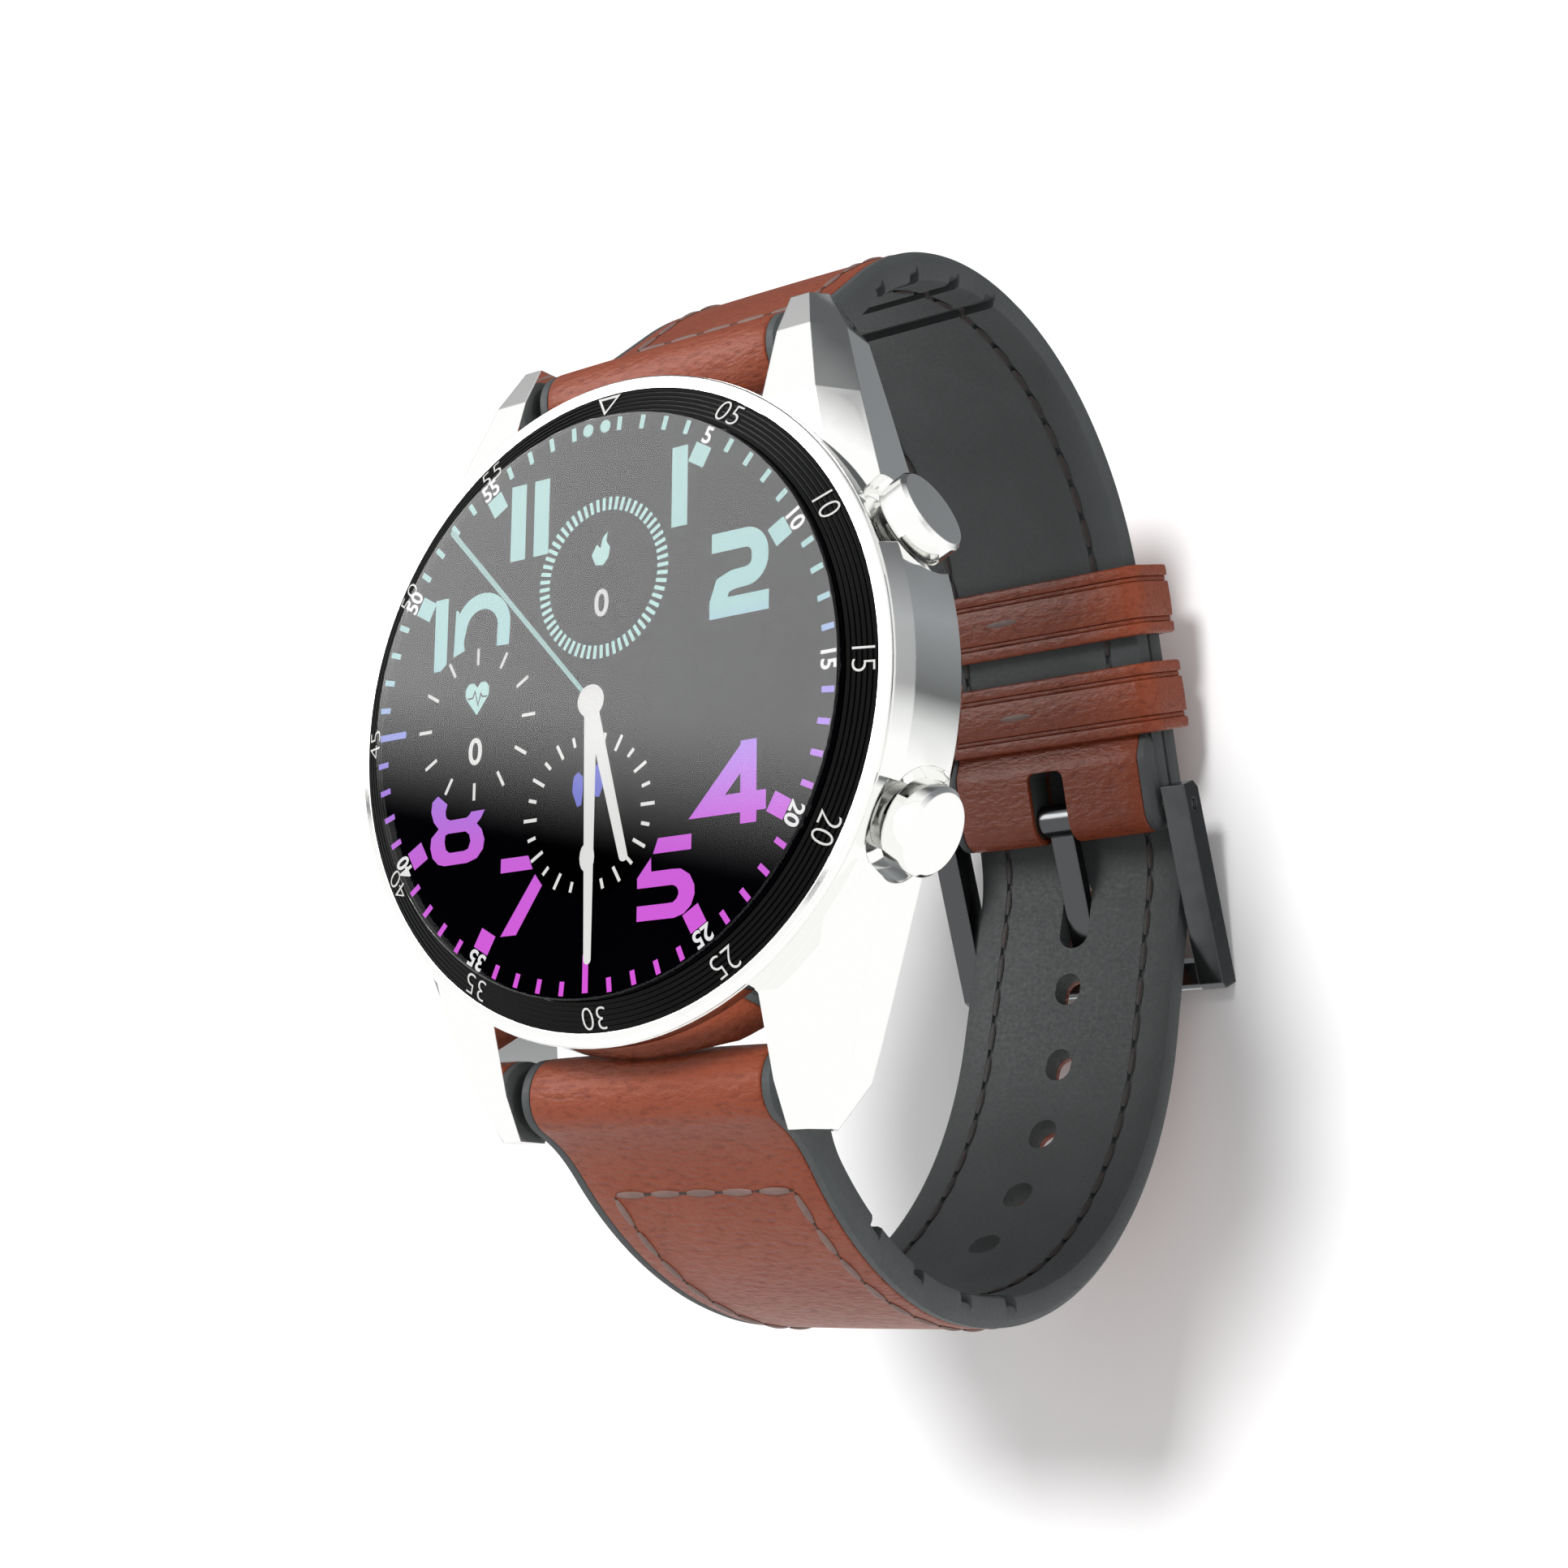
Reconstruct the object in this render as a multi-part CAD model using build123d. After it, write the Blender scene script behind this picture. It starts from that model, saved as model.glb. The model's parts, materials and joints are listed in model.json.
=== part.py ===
from build123d import *
import math
import os

# Round smartwatch on a closed leather strap. Millimetres. The dial's centre lies on the Z axis,
# +X points to 3 o'clock, +Y to 12 o'clock and +Z out of the dial. Everything is modelled with
# z = 0 at the dial ring, then moved so that the box round the whole watch stands on z = 0.

# ---- driving dimensions: head ----
GLASS_R = 19.75          # cover glass radius
GLASS_TOP = 1.15         # the glass stands proud of the sloping dial ring
GLASS_T = 0.65
GLASS_CHAMFER = 0.12
RING_INNER_R = 19.8      # dial ring, which slopes down and outward like a bezel insert
RING_OUTER_R = 21.7
RING_INNER_TOP = 0.4
RING_OUTER_TOP = -0.27
RING_BOTTOM = -0.6
GROOVE_COUNT = 5         # concentric grooves in the dial ring
GROOVE_PITCH = 0.33
GROOVE_W, GROOVE_DEPTH = 0.12, 0.1
BEZEL_BORE = 21.75
BEZEL_TOP = -0.25        # the metal rim outside the dial ring, with one fine groove
BEZEL_GROOVE_R = 22.26
BEZEL_R = 22.65          # bezel's outer radius
CASE_R = 23.15           # case flank radius
GUARD_R = 23.95          # flank radius of the guard between the two buttons
GUARD_HALF_ANGLE = 19.0  # degrees either side of 3 o'clock
CAVITY_R = 19.9          # inside radius of the case
CASE_TOP = -0.63
CASE_BOTTOM = -8.8
GASKET_BED = -1.3        # ledge of the bezel that carries gasket and dial ring
DISPLAY_R = 19.7
DISPLAY_T = 1.3
LUG_GAP = 22.4           # clear distance between a pair of lugs
LUG_BAR_Y, LUG_BAR_Z = 25.0, -7.4
SCREW_CIRCLE = 18.2
SCREW_ANGLES = (45, 135, 225, 315)
CLEAR = 0.02             # running clearance of pins and stems

# ---- driving dimensions: buttons ----
BUTTON_ANGLE = 24.6      # degrees above and below 3 o'clock
BUTTON_Z = -5.0
BUTTON_CAP_R = 2.95
BUTTON_FACE = 25.15      # distance of the cap's face from the dial axis
BUTTON_CAP_T = 2.05
BUTTON_TRAVEL = 0.5
BUTTON_STEM_R = 0.8
BUTTON_SEAT = 21.6       # bottom of the recess cut into the flank

# ---- driving dimensions: strap ----
STRAP_T = 2.4            # thickness round the wrist
LEATHER_T = 1.0
RIM = 1.1                # width of the bare rim beside the leather
LUG_END_R = 2.7          # padded end round the lug bar
LUG_WEDGE = 1.9          # how far the strap's thick start reaches inside the bar's middle
LUG_END_HALF_W = 10.8
REAR_HALF_W = 10.0
FOLD_R = 2.0             # folded end round the buckle bar
HOLE_PITCH = 7.0
HOLE_COUNT = 6
HOLE_W, HOLE_L = 2.4, 2.9
# Corner points (Y, Z) of each strap's middle line, and the radius that rounds each inner corner.
UPPER_ROUTE = [(25.0, -7.4), (59.5, -48.0), (2.5, -63.27)]
UPPER_RADII = [25.6]
LOWER_ROUTE = [(-25.0, -7.4), (-74.1, -47.5), (-1.7, -66.95), (24.16, -60.0), (27.4, -58.28)]
LOWER_RADII = [30.4, 12.0, 28.0]
TAPER = [(5.0, 0.0), (-9.0, 0.0), (-26.0, 0.8), (-80.0, 0.8)]  # height, taken off the half width

# ---- driving dimensions: buckle and keepers ----
BUCKLE_BAR = (2.5, -62.5)
BUCKLE_SLOPE = -158.85   # degrees, direction of the buckle's arms in the Y-Z plane
BUCKLE_INNER_HALF = 10.5
BUCKLE_ARM_W = 2.2
BUCKLE_LENGTH = 15.9
BUCKLE_T = 2.6
FAR_BAR_START = 13.4
TONGUE_W = 2.2
BAR_R = 0.75
KEEPER_W = 5.9
KEEPER_WALL = 1.0
KEEPER_CLEAR = 0.25
FIXED_KEEPER_Y = 11.8
FREE_KEEPER_Y = 19.8
TAIL_GAP = 0.15          # between the strap's outside and the tail lying on it
TAIL_T = 2.3

ALL = {}


def keep(name, solid):
    """Store a finished piece under its node name."""
    solid.label = name
    ALL[name] = solid
    return solid


def ring(r_out, r_in, z_low, z_high):
    """Flat ring about the Z axis."""
    height = z_high - z_low
    body = Cylinder(r_out, height, align=(Align.CENTER, Align.CENTER, Align.MIN))
    if r_in > 0:
        body -= Cylinder(r_in, height, align=(Align.CENTER, Align.CENTER, Align.MIN))
    return Pos(0, 0, z_low) * body


def turned(points):
    """Solid of revolution about Z from (radius, height) points."""
    return revolve(Plane.XZ * make_face(Polyline(*points, close=True)), Axis.Z)


def radial(angle, distance, height):
    """Location whose Z axis points away from the dial axis at this angle."""
    a = math.radians(angle)
    outward = Vector(math.cos(a), math.sin(a), 0)
    return Location(Plane(origin=outward * distance + Vector(0, 0, height), x_dir=(0, 0, 1), z_dir=outward))


def along_x(x_low, x_high, y, z, r):
    """Round bar along X."""
    bar = Cylinder(r, x_high - x_low, rotation=(0, 90, 0), align=(Align.CENTER, Align.CENTER, Align.MIN))
    return Pos(x_low, y, z) * bar


def disc(r, low, high):
    """Cylinder along its own Z from low to high."""
    return Pos(0, 0, low) * Cylinder(r, high - low, align=(Align.CENTER, Align.CENTER, Align.MIN))


def coil(mean_r, wire_r, length, turns):
    """Helical spring along Z, from 0 to length."""
    rise = length - 2 * wire_r
    path = Helix(pitch=rise / turns, height=rise, radius=mean_r)
    section = Plane(origin=path @ 0, z_dir=path % 0) * Circle(wire_r)
    return Pos(0, 0, wire_r) * sweep(section, path=path, is_frenet=True)


# ---------------------------------------------------------------- head

def lug(side_x, side_y):
    """One faceted lug: trapezium sections along Y, ruled between them."""
    inner = LUG_GAP / 2
    # y, crease x, top z, flank x, flank z, bottom z
    sections = [(11.0, 17.6, -1.5, 20.5, -3.2, -8.3), (19.6, 15.5, -2.4, 17.4, -4.9, -9.1),
                (25.0, 13.9, -4.1, 15.4, -6.3, -9.6), (28.0, 12.7, -5.7, 13.7, -6.7, -8.2)]
    faces = []
    for y, crease_x, top, flank_x, flank_z, bottom in sections:
        outline = [(inner, bottom), (inner, top), (crease_x, top), (flank_x, flank_z)]
        outline.append((flank_x - 0.4, bottom))
        plane = Plane(origin=(0, y, 0), x_dir=(1, 0, 0), z_dir=(0, -1, 0))
        faces.append(plane * make_face(Polyline(*outline, close=True)))
    body = loft(faces, ruled=True)
    if side_x < 0:
        body = mirror(body, Plane.YZ)
    if side_y < 0:
        body = mirror(body, Plane.XZ)
    return body


def mid_case():
    """Case ring with four lugs, button guard, button seats and bar holes."""
    def flank(r):
        return [(22.02, CASE_TOP), (22.7, CASE_TOP), (r - 0.55, -1.9), (r, -6.3), (r - 0.9, -7.9),
                (21.4, CASE_BOTTOM), (CAVITY_R, CASE_BOTTOM), (CAVITY_R, -2.62), (22.02, -2.62)]
    body = turned(flank(CASE_R))
    guard = revolve(Plane.XZ * make_face(Polyline(*flank(GUARD_R), close=True)), Axis.Z,
                    revolution_arc=2 * GUARD_HALF_ANGLE)
    body += Rot(0, 0, -GUARD_HALF_ANGLE) * guard
    for side_x in (-1, 1):
        for side_y in (-1, 1):
            body += lug(side_x, side_y)
    body -= disc(CAVITY_R, CASE_BOTTOM - 2, -2.0)
    body -= disc(22.02, -2.62, 3.0)
    body -= disc(21.25, CASE_BOTTOM - 2, CASE_BOTTOM)
    lug_room = LUG_GAP / 2
    for side_y in (-1, 1):
        body -= along_x(-lug_room, lug_room, side_y * LUG_BAR_Y, LUG_BAR_Z, LUG_END_R + 0.4)
        body -= along_x(-12.9, 12.9, side_y * LUG_BAR_Y, LUG_BAR_Z, 0.5)
    for angle in (-BUTTON_ANGLE, BUTTON_ANGLE):
        seat = Cone(3.5, 4.3, 4.0, align=(Align.CENTER, Align.CENTER, Align.MIN))
        body -= radial(angle, BUTTON_SEAT, BUTTON_Z) * seat
        body -= radial(angle, 0, BUTTON_Z) * disc(1.5, 15.0, 24.0)
    for x in (-2.4, 0, 2.4):
        body -= Pos(x - 21.5, 0, -5.2) * Rot(0, 90, 0) * Cylinder(0.5, 5)
    return keep("mid_case", body)


def head_shell():
    """Bezel, glass, gasket, dial ring, rear cover and what closes the case."""
    groove = BEZEL_GROOVE_R
    bezel = turned([(BEZEL_BORE, BEZEL_TOP), (groove, BEZEL_TOP), (groove + 0.04, BEZEL_TOP - 0.15),
                    (groove + 0.13, BEZEL_TOP - 0.15), (groove + 0.18, BEZEL_TOP - 0.02),
                    (BEZEL_R - 0.1, BEZEL_TOP - 0.05), (BEZEL_R, BEZEL_TOP - 0.17),
                    (BEZEL_R, CASE_TOP + 0.01),
                    (22.0, CASE_TOP + 0.01), (22.0, -2.6), (20.2, -2.6), (20.2, GASKET_BED),
                    (BEZEL_BORE, GASKET_BED)])
    keep("bezel_ring", bezel)
    glass_low = GLASS_TOP - GLASS_T
    glass = turned([(0, glass_low), (GLASS_R, glass_low), (GLASS_R, GLASS_TOP - GLASS_CHAMFER),
                    (GLASS_R - GLASS_CHAMFER, GLASS_TOP), (0, GLASS_TOP)])
    keep("cover_glass", glass)
    dial_ring = turned([(RING_INNER_R, RING_BOTTOM), (RING_OUTER_R, RING_BOTTOM),
                        (RING_OUTER_R, RING_OUTER_TOP), (RING_INNER_R, RING_INNER_TOP)])
    slope = (RING_OUTER_TOP - RING_INNER_TOP) / (RING_OUTER_R - RING_INNER_R)
    for i in range(GROOVE_COUNT):
        r = RING_INNER_R + GROOVE_W * 2 + i * GROOVE_PITCH
        floor = RING_INNER_TOP + slope * (r + GROOVE_W / 2 - RING_INNER_R) - GROOVE_DEPTH
        dial_ring -= ring(r + GROOVE_W, r, floor, GLASS_TOP)
    keep("dial_ring", dial_ring)
    keep("glass_gasket", ring(RING_OUTER_R - 0.1, 20.4, GASKET_BED, RING_BOTTOM - 0.01))
    panel_top = glass_low - 0.01
    keep("display_panel", ring(DISPLAY_R, 0, panel_top - DISPLAY_T, panel_top))

    rear = turned([(8.25, -9.9), (20.6, -9.9), (21.2, -9.3), (21.2, CASE_BOTTOM - 0.01),
                   (19.8, CASE_BOTTOM - 0.01), (19.8, -8.3), (8.25, -8.3)])
    window = turned([(0, -9.5), (8.2, -9.5), (8.2, -10.0), (7.4, -10.6), (5.0, -11.0), (0, -11.15)])
    screws = Part()
    for angle in SCREW_ANGLES:
        spot = Rot(0, 0, angle) * Pos(SCREW_CIRCLE, 0, 0)
        rear -= spot * (disc(0.62, -9.6, -8.0) + disc(1.15, -10.0, -9.45))
        screw = disc(1.1, -9.88, -9.47) + disc(0.6, -9.6, -6.9) - disc(0.45, -10.0, -9.6)
        screws += spot * screw
    contacts = Part()
    for side in (-1, 1):
        hole = Pos(side * 1.6, -12.5, 0) * disc(0.75, -10.0, -8.0)
        rear -= hole
        contacts += Pos(side * 1.6, -12.5, 0) * (disc(0.72, -9.88, -8.1) + disc(0.9, -8.29, -8.0))
    rear += ring(9.2, 7.2, -9.5, -8.3)
    window_bed = ring(8.25, 0, -10.0, -9.51)
    keep("rear_cover", rear - window_bed)
    keep("sensor_window", Pos(0, 0, -0.02) * window)
    keep("rear_screws", screws)
    keep("charging_contacts", contacts)
    keep("rear_gasket", ring(19.78, 19.2, -8.28, -7.9))


def head_inside():
    """Electronics stack between the display and the rear cover."""
    frame_top = -1.55
    panel_bottom = GLASS_TOP - GLASS_T - 0.01 - DISPLAY_T
    frame = ring(18.6, 0, -2.5, frame_top) - Pos(0, 0, -2.3) * Box(12, 10, 1.0)
    flex_room = Pos(0, -17.0, -1.0) * Box(7.5, 7.0, 1.1)
    frame += ring(18.6, 15.5, frame_top, panel_bottom - 0.01) - flex_room
    board = ring(18.4, 0, -3.2, -2.52)
    for angle in SCREW_ANGLES:
        spot = Rot(0, 0, angle) * Pos(SCREW_CIRCLE, 0, 0)
        frame += spot * (disc(0.95, -8.28, -2.0) - disc(0.61, -8.3, -6.5))
        board -= spot * disc(1.0, -4, -2)
    keep("inner_frame", frame)
    keep("main_board", board)
    chips = Part()
    for x, y, w, d in ((0, 15.2, 7.0, 3.6), (9.5, 9.0, 3.0, 3.0), (-9.5, 10.5, 4.0, 3.2),
                       (-11.0, -9.0, 3.4, 2.6)):
        chips += Pos(x, y, -3.21 - 0.3) * Box(w, d, 0.6)
    keep("board_chips", chips)
    keep("battery", Pos(-1.5, 0, 0) * ring(12.6, 0, -7.2, -4.2))
    keep("haptic_motor", Pos(0, -16.0, 0) * ring(2.6, 0, -7.0, -4.4))
    keep("speaker", Pos(-16.4, 0, -5.2) * Box(3.2, 9.0, 2.6))
    keep("microphone", Pos(8.5, -15.2, -4.0) * Box(2.6, 1.8, 0.9))
    antenna = ring(19.7, 19.3, -4.6, -2.9) - Pos(20, 0, -4) * Box(24, 26, 6)
    keep("antenna_band", antenna)
    flex = Pos(0, -16.2, -1.53) * Box(6, 3.6, 0.04)
    keep("display_flex", flex)
    sensor_board = ring(7.0, 0, -8.6, -8.0)
    keep("sensor_board", sensor_board)
    lamps = Part()
    lamps += disc(1.1, -9.3, -8.61)
    for angle in (0, 90, 180, 270):
        lamps += Rot(0, 0, angle) * Pos(4.2, 0, -8.61 - 0.3) * Box(1.6, 2.4, 0.6)
    keep("sensor_diodes", lamps)


def button(name, angle):
    """Push button: cap with stem, tube, seal, return spring, clip and the switch it presses."""
    place = radial(angle, 0, BUTTON_Z)
    back = BUTTON_FACE - BUTTON_CAP_T
    cap = disc(BUTTON_CAP_R, back, BUTTON_FACE)
    cap = chamfer(cap.edges().filter_by(GeomType.CIRCLE).sort_by(Axis.Z)[-1:], 0.28)
    cap -= disc(2.2, back - 0.1, back + 1.2)
    cap += disc(BUTTON_STEM_R, 17.3, back + 1.3)
    cap -= disc(1.0, 17.9, 18.2) - disc(0.6, 17.8, 18.3)
    keep(f"{name}_button_cap", place * cap)
    tube = disc(1.49, 18.3, 21.7) + disc(2.2, 21.61, 22.35)
    tube -= disc(BUTTON_STEM_R + CLEAR, 18.0, 23.0) + disc(1.35, 21.4, 22.4)
    keep(f"{name}_button_tube", place * tube)
    seal = disc(1.34, 21.45, 22.05) - disc(BUTTON_STEM_R + 0.012, 21.0, 23.0)
    keep(f"{name}_button_seal", place * seal)
    spring = Pos(0, 0, 22.36) * coil(1.75, 0.16, back + 1.2 - 22.37, 3.5)
    keep(f"{name}_button_spring", place * spring)
    clip = disc(1.5, 17.94, 18.16) - disc(0.61, 17.0, 19.0) - Pos(0, 1.2, 18.05) * Box(0.9, 2.4, 1.0)
    keep(f"{name}_button_clip", place * clip)
    switch = Pos(0, 0, 15.7) * Box(2.6, 3.6, 1.5) + disc(0.7, 16.3, 17.3 - BUTTON_TRAVEL - 0.04)
    keep(f"{name}_button_switch", place * switch)


# ---------------------------------------------------------------- strap

def offset_route(route, radii, distance):
    """Corner points and radii of the line that runs this far outside a route."""
    points = [Vector(y, z) for y, z in route]
    turn = 1 if (points[1] - points[0]).cross(points[2] - points[1]).Z < 0 else -1
    normals = []
    for a, b in zip(points, points[1:]):
        step = (b - a).normalized()
        normals.append(Vector(-step.Y, step.X) * turn)
    shifted = [points[0] + normals[0] * distance]
    for corner, n1, n2 in zip(points[1:-1], normals, normals[1:]):
        shifted.append(corner + (n1 + n2) * (distance / (1 + n1.dot(n2))))
    shifted.append(points[-1] + normals[-1] * distance)
    return shifted, [r + distance for r in radii]


def route_line(route, radii, distance=0.0):
    """Smooth line this far outside a route."""
    points, rounds = offset_route(route, radii, distance)
    return FilletPolyline(*points, radius=rounds)


def band(route, radii, low, high):
    """Flat band in the Y-Z plane between two distances from a route."""
    outer = route_line(route, radii, high)
    inner = route_line(route, radii, low)
    edges = outer.edges() + inner.edges() + [Line(outer @ 0, inner @ 0), Line(outer @ 1, inner @ 1)]
    return make_face(edges)


def circle_at(point, r):
    """Round patch in the Y-Z plane."""
    return Pos(point[0], point[1]) * Circle(r)


def lug_wedge(route, length, half):
    """Thicker stretch on the wrist side that runs from the lug end into the strap."""
    start, corner = Vector(*route[0]), Vector(*route[1])
    step = (corner - start).normalized()
    outward = Vector(-step.Y, step.X)
    if outward.Y < 0:
        outward = outward * -1
    far = start + step * length
    points = [start, far, far - outward * half, start - outward * LUG_WEDGE]
    return make_face(Polyline(*points, close=True))


def through(face, inset=0.0):
    """Extrude a Y-Z patch across the strap, narrowing with the strap's taper."""
    half = LUG_END_HALF_W - inset
    outline = [(half - cut, z) for z, cut in TAPER] + [(cut - half, z) for z, cut in reversed(TAPER)]
    plan = extrude(Plane.XZ * make_face(Polyline(*outline, close=True)), 60, both=True)
    return extrude(Plane.YZ * face, LUG_END_HALF_W + 1, both=True) & plan


def strap_outlines(route, radii, thickness, wedge_length, far_end=None):
    """Outer and core outlines of one strap: the leather is what lies between them."""
    half = thickness / 2
    start = route[0]
    wedge = lug_wedge(route, wedge_length, half)
    full = band(route, radii, -half, half) + circle_at(start, LUG_END_R) + wedge
    core = band(route, radii, -half, half - LEATHER_T) + circle_at(start, LUG_END_R - LEATHER_T) + wedge
    if far_end is not None:
        full += far_end[0]
        core += far_end[1]
    return full, core


def upper_strap():
    """Short strap with the buckle's folded end."""
    bar = BUCKLE_BAR
    a = math.radians(15.0)
    step = Vector(math.cos(a), math.sin(a))
    inward = Vector(-math.sin(a), math.cos(a))
    centre = Vector(*bar)
    lip = [centre - step * 0.2 + inward * FOLD_R, centre + step * 5.2 + inward * FOLD_R,
           centre + step * 6.0 + inward * 1.2, centre + step * 6.0 - inward * 1.0,
           centre - step * 0.2 - inward * 1.0]
    core_lip = [centre + inward * (FOLD_R - 0.9), centre + step * 6.0 + inward * (FOLD_R - 0.9),
                centre + step * 6.0 - inward * 1.0, centre - inward * 1.0]
    outside = circle_at(bar, FOLD_R) + make_face(Polyline(*lip, close=True))
    core_end = circle_at(bar, FOLD_R - 0.9) + make_face(Polyline(*core_lip, close=True))
    full, core = strap_outlines(UPPER_ROUTE, UPPER_RADII, STRAP_T, 13.0, (outside, core_end))
    notch = Pos(0, bar[0] + 1.7, bar[1] + 0.6) * Rot(15, 0, 0) * Box(3.5, 7.6, 8.0)
    cuts = notch + along_x(-12, 12, bar[0], bar[1], BAR_R + CLEAR)
    return finish_strap("upper", full, core, UPPER_ROUTE[0], cuts)


def finish_strap(name, full, core, lug_bar, cuts):
    """Split one strap's outline into leather and lining, and open it for its bars."""
    bore = along_x(-12, 12, lug_bar[0], lug_bar[1], 0.9 + CLEAR)
    lever_slot = Pos(7.0, lug_bar[0], lug_bar[1] - 2.5) * Box(4.4, 1.4, 5.0)
    leather = through(full - core, RIM) - bore - cuts - lever_slot
    lining = through(full) - through(full - core, RIM) - bore - cuts - lever_slot
    keep(f"{name}_strap_leather", leather)
    keep(f"{name}_strap_lining", lining)


def lower_strap():
    """Long strap with the holes, whose tail lies outside the upper strap."""
    full, core = strap_outlines(LOWER_ROUTE, LOWER_RADII, TAIL_T, 7.0)
    line = route_line(LOWER_ROUTE, LOWER_RADII)
    cuts = Part()
    first = first_hole_length(line)
    for i in range(HOLE_COUNT):
        length = first - i * HOLE_PITCH
        spot = line.position_at(length, position_mode=PositionMode.LENGTH)
        step = line.tangent_at(length, position_mode=PositionMode.LENGTH)
        long = 6.4 if i == 0 else HOLE_L
        wide = 2.8 if i == 0 else HOLE_W
        plane = Plane(origin=(0, spot.X, spot.Y), x_dir=(0, step.X, step.Y), z_dir=(0, -step.Y, step.X))
        cuts += extrude(plane * SlotOverall(long, wide), 4, both=True)
    # the tail's tip is rounded in plan
    tip = line @ 1
    step = line % 1
    plane = Plane(origin=(0, tip.X, tip.Y), x_dir=(0, step.X, step.Y), z_dir=(0, -step.Y, step.X))
    keep_shape = Pos(-10, 0) * Rectangle(20, 24) & Pos(-REAR_HALF_W - 0.01, 0) * Circle(REAR_HALF_W)
    corner = Pos(-REAR_HALF_W / 2, 0) * Rectangle(REAR_HALF_W + 0.02, 24) - keep_shape
    cuts += extrude(plane * corner, 3, both=True)
    finish_strap("lower", full, core, LOWER_ROUTE[0], cuts)


def first_hole_length(line):
    """Length along the lower strap to the hole that the tongue uses."""
    hump = Vector(*LOWER_ROUTE[2])
    target = hump + (Vector(*LOWER_ROUTE[1]) - hump).normalized() * 4.45
    return line.param_at_point(target) * line.length


def lug_bar(name, side):
    """Quick-release spring bar: tube, fixed tip, spring and the tip that the lever draws back."""
    y, z = side * LUG_BAR_Y, LUG_BAR_Z
    tube = along_x(-10.6, 10.6, y, z, 0.9) - along_x(-10.7, 10.7, y, z, 0.62)
    tube -= Pos(7.0, y, z - 0.9) * Box(4.0, 0.8, 1.6)
    keep(f"{name}_bar_tube", tube)
    keep(f"{name}_bar_fixed_tip", along_x(-12.4, -4.0, y, z, 0.46))
    lever = along_x(5.0, 12.4, y, z, 0.46) + Pos(7.6, y, z - 1.4) * Cylinder(0.3, 2.8)
    lever += Pos(7.6, y, z - 2.7) * Box(1.0, 0.9, 0.35)
    keep(f"{name}_bar_release_tip", lever)
    spring = Pos(-3.99, y, z) * Rot(0, 90, 0) * coil(0.36, 0.12, 8.98, 9)
    keep(f"{name}_bar_spring", spring)


def buckle_frame_plane():
    """Plane of the buckle's side: X along the arms from the bar, Y away from the wrist."""
    a = math.radians(BUCKLE_SLOPE)
    along = Vector(0, math.cos(a), math.sin(a))
    return Plane(origin=(0, *BUCKLE_BAR), x_dir=along, z_dir=(1, 0, 0))


def buckle():
    """Frame with two arms and a far bar, the tongue, and the bar they turn on."""
    side = buckle_frame_plane()
    half = BUCKLE_T / 2
    reach = BUCKLE_LENGTH
    arm = make_face(Polyline((-1.9, -half), (reach - 0.6, -half), (reach, -half + 0.6), (reach, half),
                             (-1.2, half), (-1.9, half - 0.7), close=True))
    bar_end = make_face(Polyline((FAR_BAR_START, -half + 0.1), (reach - 0.6, -half + 0.1),
                                 (reach, -half + 0.6), (reach, half), (FAR_BAR_START + 0.5, half),
                                 (FAR_BAR_START, half - 0.5), close=True))
    outer = BUCKLE_INNER_HALF + BUCKLE_ARM_W
    frame = extrude(side * bar_end, outer, both=True)
    for x in (-outer, BUCKLE_INNER_HALF):
        frame += Pos(x, 0, 0) * extrude(side * arm, BUCKLE_ARM_W)
    notch = make_face(Polyline((FAR_BAR_START - 1, 0.15), (reach + 1, 0.15), (reach + 1, 3),
                               (FAR_BAR_START - 1, 3), close=True))
    frame -= extrude(side * notch, TONGUE_W / 2 + 0.15, both=True)
    y, z = BUCKLE_BAR
    frame -= along_x(-outer - 1, outer + 1, y, z, 0.5)
    edges = frame.edges().filter_by(Axis.X).group_by(SortBy.LENGTH)[-1]
    frame = chamfer(edges.sort_by(Axis.Y)[:1], 0.3)
    keep("buckle_frame", frame)
    pin = along_x(-9.9, 9.9, y, z, BAR_R)
    pin += along_x(-outer + 0.3, outer - 0.3, y, z, 0.46)
    keep("buckle_bar", pin)
    blade = make_face(Polyline((0, -0.55), (FAR_BAR_START - 1.4, -0.55), (FAR_BAR_START - 0.6, 0.2),
                               (reach + 0.1, 0.2), (reach + 0.1, 0.75), (reach - 0.6, half), (9.5, 0.55),
                               (0, 0.55), close=True))
    tongue = extrude(side * blade, TONGUE_W / 2, both=True)
    tongue += along_x(-1.6, 1.6, y, z, 1.45)
    tongue -= along_x(-2, 2, y, z, BAR_R + CLEAR)
    keep("buckle_tongue", tongue)


def keeper(name, centre_y):
    """Leather loop round the upper strap and the tail that lies on it."""
    slope = math.radians(15.0)
    step = Vector(0, math.cos(slope), math.sin(slope))
    outward = Vector(0, math.sin(slope), -math.cos(slope))
    end = Vector(0, *UPPER_ROUTE[-1])
    middle = end + step * ((centre_y - end.Y) / math.cos(slope))
    low = -STRAP_T / 2 - KEEPER_CLEAR
    high = STRAP_T / 2 + TAIL_GAP + TAIL_T + KEEPER_CLEAR
    plane = Plane(origin=middle + outward * ((low + high) / 2), x_dir=(1, 0, 0), z_dir=step)
    hole = RectangleRounded(2 * (REAR_HALF_W + KEEPER_CLEAR), high - low, 0.5)
    body = RectangleRounded(2 * (REAR_HALF_W + KEEPER_CLEAR + KEEPER_WALL), high - low + 2 * KEEPER_WALL, 1.6)
    keep(name, extrude(plane * (body - hole), KEEPER_W / 2, both=True))


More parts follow.
